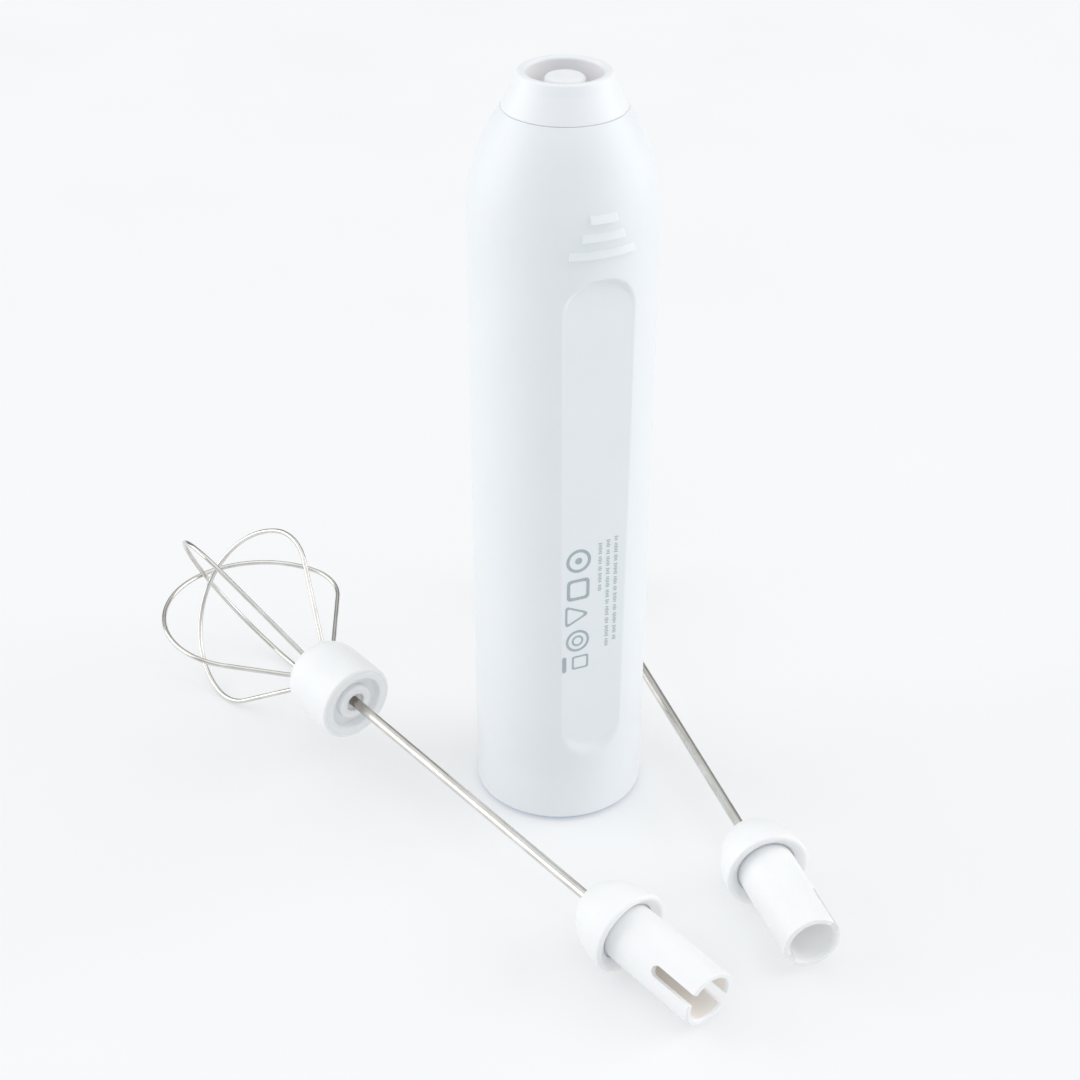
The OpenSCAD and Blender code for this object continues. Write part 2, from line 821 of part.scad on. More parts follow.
module froth_coupling() color("white") lay_froth() coupling(froth_slot_turn);
module froth_rod() color("silver") lay_froth() rod(sleeve_len + 0.5, ring_at - 4);

module froth_ferrule() color("silver") lay_froth()
    difference() {
        translate([0, 0, ring_at - 4 - ferrule_len / 2]) cylinder(r = 1.6, h = ferrule_len);
        translate([0, 0, ring_at - 4 - ferrule_len]) cylinder(r = rod_r + 0.01, h = ferrule_len);
        translate([0, 0, ring_at - 4.01]) cylinder(r = ring_wire_r + 0.01, h = ferrule_len);
    }

module froth_ring() color("silver") lay_froth() {
    translate([0, 0, ring_at - 3.9]) cylinder(r = ring_wire_r, h = 3.9);
    translate([0, 0, ring_at]) {
        sphere(r = ring_wire_r, $fn = 32);
        rotate([0, -90, 0]) cylinder(r = ring_wire_r, h = ring_r);
        rotate_extrude() translate([ring_r, 0]) circle(r = ring_wire_r, $fn = 32);
    }
}

// the spring: a helix of round wire wound round the ring, open where the spoke meets it
module froth_spring() color("silver") lay_froth() {
    per_turn = 8;
    open_angle = 11;
    steps = coil_turns * per_turn;
    sweep = 360 - 2 * open_angle;
    outward = [for (i = [0:steps]) let (a = 180 + open_angle + sweep * i / steps) [cos(a), sin(a), 0]];
    spokes = [
        for (i = [0:steps])
            let (b = 360 * i / per_turn)
            cos(b) * outward[i] + [0, 0, sin(b)]
    ];
    path = [for (i = [0:steps]) outward[i] * ring_r + [0, 0, ring_at] + coil_r * spokes[i]];
    wire(path, spokes, coil_wire_r, 5);
}

casing();
nozzle_collar();
nozzle_seal();
base_cap();
base_seal();
chassis();
motor_can();
motor_end_cap();
motor_magnets();
motor_bushings();
motor_brushes();
motor_damper();
motor_screws();
shaft_seal();
battery_cell();
battery_pad();
circuit_board();
board_parts();
board_screws();
power_switch();
usb_socket();
status_leds();
light_guide();
motor_leads();
battery_leads();
power_button();
switch_plunger();
motor_shaft();
rotor_core();
rotor_windings();
commutator();
drive_post();
balloon_coupling();
balloon_rod();
balloon_hub();
balloon_hub_plug();
balloon_loop_1();
balloon_loop_2();
balloon_loop_3();
froth_coupling();
froth_rod();
froth_ferrule();
froth_ring();
froth_spring();
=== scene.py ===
import json
import math

import bmesh
import bpy
from mathutils import Matrix, Vector


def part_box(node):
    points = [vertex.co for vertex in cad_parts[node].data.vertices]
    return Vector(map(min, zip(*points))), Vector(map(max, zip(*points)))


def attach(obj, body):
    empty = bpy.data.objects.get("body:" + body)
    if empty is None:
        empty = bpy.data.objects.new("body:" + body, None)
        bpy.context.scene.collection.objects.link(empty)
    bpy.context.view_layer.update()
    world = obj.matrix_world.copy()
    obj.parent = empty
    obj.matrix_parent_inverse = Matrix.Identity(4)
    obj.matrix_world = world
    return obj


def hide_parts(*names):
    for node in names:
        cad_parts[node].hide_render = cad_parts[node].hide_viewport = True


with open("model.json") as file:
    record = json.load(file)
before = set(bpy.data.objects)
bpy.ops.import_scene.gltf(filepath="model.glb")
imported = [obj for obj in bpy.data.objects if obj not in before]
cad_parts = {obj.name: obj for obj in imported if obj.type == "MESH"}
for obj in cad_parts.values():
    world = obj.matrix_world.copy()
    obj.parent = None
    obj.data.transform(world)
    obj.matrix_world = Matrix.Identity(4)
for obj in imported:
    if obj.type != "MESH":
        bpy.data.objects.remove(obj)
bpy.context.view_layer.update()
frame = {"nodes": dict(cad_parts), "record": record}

# Lengths are in millimetres, in the CAD model's frame, unless a heading says otherwise.
MM = 0.001
mounts = {mount["name"]: mount for mount in frame["record"]["mounts"]}


def top_of(node):
    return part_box(node)[1] / MM


# ---------- handle sizes ----------
RIM_Z = top_of("nozzle_collar").z
TIP_Z = top_of("drive_post").z
GRIP_R = top_of("casing").x
SEAM_Z = RIM_Z - 6.3
SHOULDER_Z = SEAM_Z - 19.5
SHOULDER_ARC = 35
FOOT_EDGE_R = 16.7
FOOT_FILLET = 0.9
CASE_Z = 0.4
WALL = 2.2
CUT_FROM = 12  # where the holes' cutters start and end along Y
CUT_TO = 20
CASE_BORE = 15
SPIGOT_R = 9.75
LIP_FILLET = 0.08
LEDGE_Z = 138
FLAT_HALF = 7
FLAT_Y = 15.6
FLAT_LOW = 17.2
FLAT_HIGH = 117.6
FLAT_SOFT = 0.5
FLAT_FADE = 0.9
RIB_Z = 122.9
RIB_STEP = 3.1
RIB_SWEEP = (41, 26, 17)
RIB_HEIGHT = 1.4
RIB_OUT = 0.7
RIB_FILLET = 0.28
RIB_ROOT = 0.5
BUTTON_Z = 98
BUTTON_R = 5.3
BUTTON_GAP = 0.3
LIGHT_Z = 80
LIGHT_X = (-3.5, 0, 3.5)
LIGHT_R = 0.8
PORT_Z = 27
PORT_W = 9
PORT_H = 3.3
CUP_R = 6.75
CUP_Z = RIM_Z - 14.8
CUP_FLOOR = 2
SHAFT_HOLE_R = 3.2
SHAFT_R = 1.02
POST_R = 4.25
POST_TIP_R = 3.6

# ---------- whisk sizes, along each whisk from its sleeve's mouth ----------
SLEEVE_R = 5.6
BORE_R = 4.35
BORE_DEPTH = 18
SLEEVE_LEN = 20.1
SLOT_W = 2.2
SLOT_LEN = 10
CAP_R = 8.25
DOME_LEN = 12.2
DOME_END_R = 2
GROOVE_DEPTH = 1.2
SKIRT = 0.8
CREVICE_W = 0.28
CREVICE_DEPTH = 0.35
ROD_R = 1
ROD_HOLE_R = ROD_R + 0.02
ROD_START = SLEEVE_LEN + 0.5
HUB_AT = 103.3
HUB_LEN = 15
PLUG_R = 3.8
HUB_RECESS_R = 5.8
HUB_RECESS = 1.8
PLUG_LEN = 12
WIRE_R = 0.5
LEG_R = 4.7
LEG_START = 7
LEG_ANGLE = 39.3
BEND_R = 11
LOOP_HALF = 19.2
CROWN_AT = (55.8, 57.1, 54.1)
LOOP_LEAN = (3.4, 1.9, 0.5)
LOOP_TURN = (151.5, 269.2, 210.5)
SLOT_TURN = {"balloon": 120, "froth": 55}
RING_AT = 136
RING_R = 9.8
RING_WIRE_R = 0.8
COIL_R = 1.6
COIL_WIRE_R = 0.35
COIL_TURNS = 40
FERRULE_BACK = 4
MOUNT_DEPTH = 5


# ---------- camera, placed in metres ----------
CAMERA_AT = Vector((-0.13756, -0.3145, 0.26604))
CAMERA_HEADING = 22.96
CAMERA_PITCH = -31.47
CAMERA_ROLL = 0.206
CAMERA_LENS = 69.27
CAMERA_SENSOR = 36


def add_object(name, data):
    """A new object in the scene."""
    thing = bpy.data.objects.new(name, data)
    bpy.context.scene.collection.objects.link(thing)
    return thing


def axes_at(place, x_axis, y_axis, z_axis):
    """The matrix that moves the origin to a place and turns X, Y and Z to the three axes given."""
    return Matrix.Translation(place) @ Matrix((x_axis, y_axis, z_axis)).transposed().to_4x4()


def camera_axes():
    """The camera's right, up and ahead, before its roll."""
    heading = math.radians(CAMERA_HEADING)
    pitch = math.radians(CAMERA_PITCH)
    level = math.cos(pitch)
    ahead = Vector((math.sin(heading) * level, math.cos(heading) * level, math.sin(pitch)))
    right = Vector((math.cos(heading), -math.sin(heading), 0))
    return right, right.cross(ahead), ahead


def make_camera():
    right, up, ahead = camera_axes()
    roll = math.radians(CAMERA_ROLL)
    level = right * math.cos(roll) + up * math.sin(roll)
    upright = up * math.cos(roll) - right * math.sin(roll)
    data = bpy.data.cameras.new("camera")
    data.lens = CAMERA_LENS
    data.sensor_width = CAMERA_SENSOR
    data.clip_start = 0.01
    camera = add_object("camera", data)
    camera.matrix_world = axes_at(CAMERA_AT, level, upright, -ahead)
    bpy.context.scene.camera = camera


make_camera()


# ---------- outlines ----------
def turn(x, y, angle):
    """A point turned about the origin by an angle in degrees."""
    c, s = math.cos(math.radians(angle)), math.sin(math.radians(angle))
    return x * c - y * s, x * s + y * c


def arc(x, y, r, a0, a1, n):
    """Points on a circle round (x, y), from angle a0 to angle a1 in n steps."""
    points = []
    for i in range(n + 1):
        dx, dy = turn(r, 0, a0 + (a1 - a0) * i / n)
        points.append((x + dx, y + dy))
    return points


def soften(corners, steps=5):
    """An outline from (x, y, fillet radius) corners: each corner with a radius becomes an arc."""
    points = []
    count = len(corners)
    for i, (x, y, r) in enumerate(corners):
        if not r:
            points.append((x, y))
            continue
        here = Vector((x, y))
        before = (Vector(corners[i - 1][:2]) - here).normalized()
        after = (Vector(corners[(i + 1) % count][:2]) - here).normalized()
        half = before.angle(after) / 2
        middle = here + (before + after).normalized() * (r / math.sin(half))
        start = here + before * (r / math.tan(half)) - middle
        end = here + after * (r / math.tan(half)) - middle
        a0 = math.degrees(math.atan2(start.y, start.x))
        swing = math.degrees(math.atan2(start.x * end.y - start.y * end.x, start.dot(end)))
        points += arc(middle.x, middle.y, r, a0, a0 + swing, steps)
    return points


def box_outline(x, y, half_w, half_h, r, steps=4):
    """A rectangle round (x, y) with rounded corners."""
    return soften([
        (x - half_w, y - half_h, r), (x + half_w, y - half_h, r),
        (x + half_w, y + half_h, r), (x - half_w, y + half_h, r),
    ], steps)


def stadium(w, h, steps=12):
    """A slot shape with round ends, w wide and h high, centred on the origin."""
    r = h / 2
    return arc(w / 2 - r, 0, r, -90, 90, steps) + arc(r - w / 2, 0, r, 90, 270, steps)


# ---------- meshes ----------
def band_faces(a, b, count):
    """Faces between two closed rows of count vertices, the one starting at a and the other at b."""
    return [(a + k, a + (k + 1) % count, b + (k + 1) % count, b + k) for k in range(count)]


def lathe(outline, segments=96):
    """Vertices and faces of a closed outline of (radius, height) turned about Z."""
    verts, faces, rings = [], [], []
    for r, z in outline:
        if r < 1e-6:
            rings.append([len(verts)])
            verts.append((0, 0, z))
        else:
            rings.append(list(range(len(verts), len(verts) + segments)))
            verts += [(*turn(r, 0, 360 * k / segments), z) for k in range(segments)]
    for a, b in zip(rings, rings[1:] + rings[:1]):
        for k in range(segments):
            n = (k + 1) % segments
            if len(a) > 1 and len(b) > 1:
                faces.append((a[k], a[n], b[n], b[k]))
            elif len(a) > 1:
                faces.append((a[k], a[n], b[0]))
            elif len(b) > 1:
                faces.append((a[0], b[n], b[k]))
    return verts, faces


def sweep(path, radius, sides=16):
    """A round wire along a path, with flat ends and with rows of vertices that don't twist."""
    path = [Vector(p) for p in path]
    last = len(path) - 1
    verts, faces = [], []
    side = None
    for i, p in enumerate(path):
        along = (path[min(i + 1, last)] - path[max(i - 1, 0)]).normalized()
        if side is None:
            side = along.orthogonal()
        side = (side - along * side.dot(along)).normalized()
        up = along.cross(side)
        for k in range(sides):
            c, s = turn(1, 0, 360 * k / sides)
            verts.append(p + radius * (c * side + s * up))
    for i in range(last):
        faces += band_faces(i * sides, (i + 1) * sides, sides)
    faces.append(tuple(reversed(range(sides))))
    faces.append(tuple(last * sides + k for k in range(sides)))
    return verts, faces


def sweep_grain(path, radius, sides=16):
    """For each vertex of a sweep: its place round the wire, and how far along it lies."""
    path = [Vector(p) for p in path]
    grain, length = [], 0.0
    for i, p in enumerate(path):
        length += (p - path[i - 1]).length if i else 0.0
        grain += [Vector((*turn(radius, 0, 360 * k / sides), length)) for k in range(sides)]
    return grain


def prism(outline, low, high, edge=0.0):
    """A flat outline in X and Y, standing from low to high, with its top edge bevelled by edge."""
    count = len(outline)
    middle = Vector((sum(p[0] for p in outline) / count, sum(p[1] for p in outline) / count))
    verts = [(*p, low) for p in outline] + [(*p, high - edge) for p in outline]
    levels = 2
    if edge:
        for i in range(count):
            p = Vector(outline[i])
            along = Vector(outline[(i + 1) % count]) - Vector(outline[i - 1])
            inward = Vector((-along.y, along.x)).normalized()
            if inward.dot(middle - p) < 0:
                inward = -inward
            verts.append((*(p + inward * edge), high))
        levels = 3
    faces = [tuple(reversed(range(count))), tuple(range((levels - 1) * count, levels * count))]
    for level in range(levels - 1):
        faces += band_faces(level * count, (level + 1) * count, count)
    return verts, faces


def join(*shapes):
    """Several (vertices, faces) as one."""
    verts, faces = [], []
    for some_verts, some_faces in shapes:
        start = len(verts)
        verts += [Vector(v) for v in some_verts]
        faces += [tuple(start + i for i in face) for face in some_faces]
    return verts, faces


def moved(shape, matrix):
    return [matrix @ Vector(v) for v in shape[0]], shape[1]


def stand(x=0, y=0, z=0, about="Z", angle=0):
    return Matrix.Translation((x, y, z)) @ Matrix.Rotation(math.radians(angle), 4, about)


# Local Z turned to +Y, out of the handle's front, with local X kept and local Y down.
FRONT = Matrix(((1, 0, 0, 0), (0, 0, 1, 0), (0, -1, 0, 0), (0, 0, 0, 1)))
# Local Z turned to -Y, out of the handle's back, with local X kept and local Y up.
BACK = Matrix(((1, 0, 0, 0), (0, 0, -1, 0), (0, 1, 0, 0), (0, 0, 0, 1)))
# Local X, Y and Z turned to Y, Z and X, so an outline's Y runs along a whisk.
SIDEWAYS = Matrix(((0, 0, 1, 0), (1, 0, 0, 0), (0, 1, 0, 0), (0, 0, 0, 1)))


def new_mesh(name, shape, grain=None):
    """A mesh in metres from a shape in millimetres; grain gives each vertex its place along the metal."""
    mesh = bpy.data.meshes.new(name)
    mesh.from_pydata([Vector(v) * MM for v in shape[0]], [], shape[1])
    if grain:
        along = mesh.attributes.new("grain", "FLOAT_VECTOR", "POINT")
        along.data.foreach_set("vector", [c * MM for p in grain for c in p])
    work = bmesh.new()
    work.from_mesh(mesh)
    bmesh.ops.remove_doubles(work, verts=work.verts, dist=1e-7)
    bmesh.ops.recalc_face_normals(work, faces=work.faces)
    work.to_mesh(mesh)
    work.free()
    return mesh


def combined(name, base, other, operation):
    """Vertices and faces, in millimetres, of base with other cut away or added."""
    parts = ((f"{name}_base", base), (f"{name}_other", other))
    objects = [add_object(part, new_mesh(part, shape)) for part, shape in parts]
    boolean = objects[0].modifiers.new("boolean", "BOOLEAN")
    boolean.operation = operation
    boolean.solver = "EXACT"
    boolean.use_self = True
    boolean.object = objects[1]
    graph = bpy.context.evaluated_depsgraph_get()
    result = bpy.data.meshes.new_from_object(objects[0].evaluated_get(graph))
    shape = ([v.co / MM for v in result.vertices], [tuple(f.vertices) for f in result.polygons])
    for thing in objects:
        mesh = thing.data
        bpy.data.objects.remove(thing)
        bpy.data.meshes.remove(mesh)
    bpy.data.meshes.remove(result)
    return shape


def cut(base, *tools):
    return combined("cut", base, join(*tools), "DIFFERENCE")


def piece(name, shape, body, slot, replaces=(), material=None, sharp=32, bevel=0.0, grain=None):
    """A finished piece, smooth shaded and in its slot's look unless it is given a material of its own.

    It rides on its body and stands for the CAD nodes it replaces.
    """
    mesh = new_mesh(name, shape, grain)
    thing = add_object(name, mesh)
    mesh.shade_smooth()
    mesh.set_sharp_from_angle(angle=math.radians(sharp))
    if bevel:
        rounding = thing.modifiers.new("bevel", "BEVEL")
        rounding.width = bevel * MM
        rounding.segments = 2
        rounding.limit_method = "ANGLE"
        rounding.angle_limit = math.radians(50)
        rounding.use_clamp_overlap = True
    weighted = thing.modifiers.new("weighted_normals", "WEIGHTED_NORMAL")
    weighted.keep_sharp = True
    mesh.materials.append(material or look[slot])
    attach(thing, body)
    if replaces:
        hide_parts(*replaces)
    return thing


# ---------- materials ----------
def link_all(tree, *pairs):
    for source, target in pairs:
        tree.links.new(source, target)


def blank(name, grained=False):
    """A new material, its nodes, and the place to texture by: the frame's own axes, or along the metal."""
    material = bpy.data.materials.new(name)
    material.use_nodes = True
    tree = material.node_tree
    shader = tree.nodes["Principled BSDF"]
    if grained:
        along = tree.nodes.new("ShaderNodeAttribute")
        along.attribute_name = "grain"
        return material, tree, shader, along.outputs["Vector"]
    return material, tree, shader, tree.nodes.new("ShaderNodeTexCoord").outputs["Object"]


def noise(tree, place, size_mm, detail=3.0, stretch=(1, 1, 1)):
    """Noise whose features are about size_mm across; stretch makes them longer along an axis."""
    mapping = tree.nodes.new("ShaderNodeMapping")
    mapping.inputs["Scale"].default_value = [1 / s for s in stretch]
    texture = tree.nodes.new("ShaderNodeTexNoise")
    texture.inputs["Scale"].default_value = 1 / (size_mm * MM)
    texture.inputs["Detail"].default_value = detail
    link_all(tree, (place, mapping.inputs["Vector"]), (mapping.outputs["Vector"], texture.inputs["Vector"]))
    return texture.outputs["Fac"]


def spread(tree, value, low, high, from_low=0.3, from_high=0.7):
    """A noise value mapped to the range from low to high."""
    node = tree.nodes.new("ShaderNodeMapRange")
    node.inputs["From Min"].default_value = from_low
    node.inputs["From Max"].default_value = from_high
    node.inputs["To Min"].default_value = low
    node.inputs["To Max"].default_value = high
    tree.links.new(value, node.inputs["Value"])
    return node.outputs["Result"]


def between(tree, factor, dark, light):
    """A colour from dark to light, by a factor from 0 to 1."""
    node = tree.nodes.new("ShaderNodeMix")
    node.data_type = "RGBA"
    node.inputs[6].default_value = (*dark, 1)
    node.inputs[7].default_value = (*light, 1)
    tree.links.new(factor, node.inputs[0])
    return node.outputs[2]


def multiplied(tree, a, b):
    node = tree.nodes.new("ShaderNodeMix")
    node.data_type = "RGBA"
    node.blend_type = "MULTIPLY"
    node.inputs[0].default_value = 1.0
    link_all(tree, (a, node.inputs[6]), (b, node.inputs[7]))
    return node.outputs[2]


def bump(tree, height, depth_mm, strength, under=None):
    node = tree.nodes.new("ShaderNodeBump")
    node.inputs["Strength"].default_value = strength
    node.inputs["Distance"].default_value = depth_mm * MM
    tree.links.new(height, node.inputs["Height"])
    if under:
        tree.links.new(under, node.inputs["Normal"])
    return node.outputs["Normal"]


def height_fade(tree, place, low_mm, high_mm):
    """0 below the first height and 1 above the second, along the place's Z."""
    apart = tree.nodes.new("ShaderNodeSeparateXYZ")
    tree.links.new(place, apart.inputs["Vector"])
    return spread(tree, apart.outputs["Z"], 0, 1, low_mm * MM, high_mm * MM)


def shade(colour, amount):
    return tuple(max(0.0, c * amount) for c in colour)


def moulded(
    name, colour, roughness, grain=0.22, depth=0.012, coat=0.0, subsurface=0.0, mottle=0.03,
    painted_glow=0.0, painted_foot_shade=None,
):
    """Moulded plastic: spark-eroded grain, slow waves of the mould, and handling marks in the gloss.

    Its last two arguments paint light. The first is a painted glow: emission that lights the surface up,
    standing in for light that comes through a thin wall from outside. The second gives the heights, in
    millimetres, between which a dark band of painted shade, standing in for the contact shadow at the foot,
    fades out.
    """
    material, tree, shader, place = blank(name)
    clouds = noise(tree, place, 14, 4)
    colours = between(tree, spread(tree, clouds, 0, 1), shade(colour, 1 - mottle), colour)
    # painted shade: a dark band near the foot, standing in for the contact shadow under the casing
    if painted_foot_shade:
        colours = multiplied(tree, colours, between(tree, height_fade(tree, place, *painted_foot_shade), FOOT_PAINTED_SHADE, WHITE))
    smears = spread(tree, noise(tree, place, 5, 6, (1, 1, 3)), roughness - 0.05, roughness + 0.07)
    grains = bump(tree, noise(tree, place, grain, 2), depth, 0.5)
    waves = bump(tree, noise(tree, place, 9, 1), 0.02, 0.25, grains)
    link_all(
        tree,
        (colours, shader.inputs["Base Color"]),
        (smears, shader.inputs["Roughness"]),
        (waves, shader.inputs["Normal"]),
    )
    shader.inputs["IOR"].default_value = 1.5
    shader.inputs["Coat Weight"].default_value = coat
    shader.inputs["Coat Roughness"].default_value = 0.25
    shader.inputs["Subsurface Weight"].default_value = subsurface
    shader.inputs["Subsurface Scale"].default_value = 0.001
    # painted glow: the surface's own colour emitted, standing in for light that comes through the wall
    shader.inputs["Emission Color"].default_value = (*colour, 1)
    shader.inputs["Emission Strength"].default_value = painted_glow
    return material


def drawn_steel(name, colour, roughness, along=(1, 1, 60), tint=None, streak=0.12, grained=False, joint_darkening=None):
    """Drawn or brushed steel: long fine lines, patches of duller metal and a slight colour drift.

    The last argument gives the stretch, in millimetres along the metal, over which it darkens towards a
    joint.
    """
    material, tree, shader, place = blank(name, grained)
    lines = noise(tree, place, streak, 4, along)
    patches = noise(tree, place, 6, 3)
    drift = between(tree, spread(tree, patches, 0, 1), shade(tint or colour, 0.9), colour)
    metal = multiplied(tree, drift, between(tree, spread(tree, lines, 0, 1), DRAWN_LINE, WHITE))
    # darker along the metal past the given heights, towards the joint
    if joint_darkening:
        metal = multiplied(tree, metal, between(tree, height_fade(tree, place, *joint_darkening), WHITE, JOINT_DARK))
    link_all(
        tree,
        (metal, shader.inputs["Base Color"]),
        (spread(tree, lines, roughness - 0.06, roughness + 0.1), shader.inputs["Roughness"]),
        (bump(tree, lines, 0.01, 0.35), shader.inputs["Normal"]),
    )
    shader.inputs["Metallic"].default_value = 1.0
    return material


def soft_rubber(name, colour, roughness=0.75, pore=0.3):
    material, tree, shader, place = blank(name)
    pores = noise(tree, place, pore, 3)
    clouds = spread(tree, noise(tree, place, 4, 4), 0, 1)
    link_all(
        tree,
        (between(tree, clouds, shade(colour, 0.8), colour), shader.inputs["Base Color"]),
        (spread(tree, pores, roughness - 0.1, roughness + 0.12), shader.inputs["Roughness"]),
        (bump(tree, pores, 0.04, 0.5), shader.inputs["Normal"]),
    )
    shader.inputs["Sheen Weight"].default_value = 0.1
    return material


def wound_copper(name, colour):
    """Enamelled wire wound in rows."""
    material, tree, shader, place = blank(name)
    rows = tree.nodes.new("ShaderNodeTexWave")
    rows.bands_direction = "Z"
    rows.inputs["Scale"].default_value = 1600
    rows.inputs["Distortion"].default_value = 0.6
    # painted shade: the grooves between the rows are darkened in the colour, where the bump has its valleys
    link_all(
        tree,
        (place, rows.inputs["Vector"]),
        (between(tree, rows.outputs["Fac"], shade(colour, 0.45), colour), shader.inputs["Base Color"]),
        (bump(tree, rows.outputs["Fac"], 0.1, 0.9), shader.inputs["Normal"]),
        (spread(tree, noise(tree, place, 1, 2), 0.22, 0.4), shader.inputs["Roughness"]),
    )
    shader.inputs["Metallic"].default_value = 0.9
    shader.inputs["Coat Weight"].default_value = 0.5
    return material


def solder_board(name, colour):
    """Green solder mask over copper tracks, which show as paler lines."""
    material, tree, shader, place = blank(name)
    tracks = tree.nodes.new("ShaderNodeTexBrick")
    tracks.inputs["Scale"].default_value = 260
    tracks.inputs["Mortar Size"].default_value = 0.03
    tracks.inputs["Color1"].default_value = (*colour, 1)
    tracks.inputs["Color2"].default_value = (*shade(colour, 0.8), 1)
    tracks.inputs["Mortar"].default_value = (*shade(colour, 2.2), 1)
    link_all(
        tree,
        (place, tracks.inputs["Vector"]),
        (tracks.outputs["Color"], shader.inputs["Base Color"]),
        (bump(tree, tracks.outputs["Fac"], 0.03, 0.6), shader.inputs["Normal"]),
        (spread(tree, noise(tree, place, 2, 3), 0.25, 0.45), shader.inputs["Roughness"]),
    )
    return material


def clear_plastic(name, colour):
    material, tree, shader, place = blank(name)
    haze = noise(tree, place, 0.8, 3)
    link_all(
        tree,
        (between(tree, spread(tree, haze, 0, 1), shade(colour, 0.94), colour), shader.inputs["Base Color"]),
        (spread(tree, haze, 0.12, 0.3), shader.inputs["Roughness"]),
        (bump(tree, haze, 0.01, 0.3), shader.inputs["Normal"]),
    )
    shader.inputs["Transmission Weight"].default_value = 0.75
    shader.inputs["IOR"].default_value = 1.49
    return material


def ink(name, colour):
    """Pad-printed ink, a little thin and uneven."""
    material, tree, shader, place = blank(name)
    thin = noise(tree, place, 0.35, 4)
    link_all(
        tree,
        (between(tree, spread(tree, thin, 0, 1), colour, shade(colour, 1.18)), shader.inputs["Base Color"]),
        (spread(tree, thin, 0.4, 0.6), shader.inputs["Roughness"]),
    )
    return material


WHITE = (1, 1, 1)
DRAWN_LINE = (0.8, 0.79, 0.78)
# the colour the rod darkens to towards the hub
JOINT_DARK = (0.5, 0.47, 0.44)
CASING_WHITE = (0.838, 0.866, 0.882)
# colour of the painted shade along the casing's foot, standing in for its contact shadow
FOOT_PAINTED_SHADE = (0.42, 0.5, 0.66)
TRIM_WHITE = (0.875, 0.89, 0.905)
WHISK_WHITE = (0.9, 0.905, 0.91)
STEEL = (0.84, 0.83, 0.81)
WARM_STEEL = (0.77, 0.74, 0.69)

look = {
    # the casing carries a band of painted shade at its foot
    "casing_white": moulded(
        "casing_white", CASING_WHITE, 0.42, subsurface=0.05, mottle=0.015, painted_foot_shade=(CASE_Z + 0.35, CASE_Z + 0.85)
    ),
    "trim_white": moulded("trim_white", TRIM_WHITE, 0.4, grain=0.18, subsurface=0.05, mottle=0.015),
    "whisk_plastic": moulded("whisk_plastic", WHISK_WHITE, 0.48, grain=0.3, subsurface=0.12, mottle=0.02),
    "button_grey": moulded("button_grey", (0.8, 0.825, 0.84), 0.5, grain=0.15, depth=0.02),
    "chassis_plastic": moulded("chassis_plastic", (0.78, 0.78, 0.76), 0.55, grain=0.35, mottle=0.08),
    "cell_wrap": moulded("cell_wrap", (0.1, 0.28, 0.55), 0.3, grain=1.2, depth=0.03, coat=0.5, mottle=0.15),
    "chip_black": moulded("chip_black", (0.03, 0.03, 0.035), 0.5, grain=0.1, depth=0.02, mottle=0.3),
    "led_amber": moulded("led_amber", (0.92, 0.72, 0.3), 0.2, coat=0.6),
    "lead_insulation": moulded("lead_insulation", (0.5, 0.05, 0.045), 0.4, grain=0.5, mottle=0.1),
    "rod_steel": drawn_steel("rod_steel", STEEL, 0.22, tint=WARM_STEEL, grained=True),
    "wire_steel": drawn_steel("wire_steel", STEEL, 0.19, (1, 1, 25), WARM_STEEL, 0.2, grained=True),
    "motor_steel": drawn_steel("motor_steel", (0.62, 0.62, 0.61), 0.35, (12, 12, 1)),
    "screw_steel": drawn_steel("screw_steel", (0.6, 0.6, 0.61), 0.3, (6, 6, 1)),
    "switch_steel": drawn_steel("switch_steel", (0.7, 0.7, 0.7), 0.28, (1, 20, 1)),
    "lamination_steel": drawn_steel("lamination_steel", (0.36, 0.37, 0.39), 0.42, (40, 40, 1), None, 0.5),
    "ferrite": soft_rubber("ferrite", (0.1, 0.1, 0.11), 0.6, 0.15),
    "bronze": drawn_steel("bronze", (0.6, 0.42, 0.2), 0.45, (2, 2, 2), (0.45, 0.3, 0.15), 0.2),
    "copper": wound_copper("copper", (0.72, 0.34, 0.17)),
    "rubber_grey": soft_rubber("rubber_grey", (0.22, 0.225, 0.235)),
    "foam_grey": soft_rubber("foam_grey", (0.14, 0.14, 0.15), 0.9, 0.6),
    "board_green": solder_board("board_green", (0.04, 0.24, 0.11)),
    "clear_lens": clear_plastic("clear_lens", (0.92, 0.95, 0.97)),
}
# painted shade and glow: the bores' inner faces are darker and warmer than the whisk plastic, standing in for
# shade in the bore, and glow a little
bore_painted_shade_and_glow = {
    "balloon": moulded("warm_bore", (0.84, 0.805, 0.765), 0.55, grain=0.3, mottle=0.06, painted_glow=0.09),
    "froth": moulded("pale_bore", (0.86, 0.86, 0.86), 0.55, grain=0.3, mottle=0.05, painted_glow=0.09),
}
# painted shade and glow: the cup's inner faces are warmer and darker than the collar, standing in for shade
# in the cup, and glow a little
cup_plastic = moulded("cup_plastic", (0.87, 0.855, 0.865), 0.5, grain=0.2, mottle=0.02, painted_glow=0.045)
# steel that darkens towards the hub
stained_steel = drawn_steel(
    "stained_steel", STEEL, 0.22, tint=WARM_STEEL, grained=True, joint_darkening=(HUB_AT - 6, HUB_AT + 0.5)
)
label_ink = ink("label_ink", (0.36, 0.42, 0.45))
dark_gold = drawn_steel("contact_gold", (0.78, 0.6, 0.28), 0.3, (1, 8, 1))

slot_of = {row["node"]: row["material_slot"] for row in frame["record"]["subparts"]}
for mesh_node in frame["nodes"].values():
    mesh_node.data.materials.clear()
    mesh_node.data.materials.append(look[slot_of[mesh_node.name]])


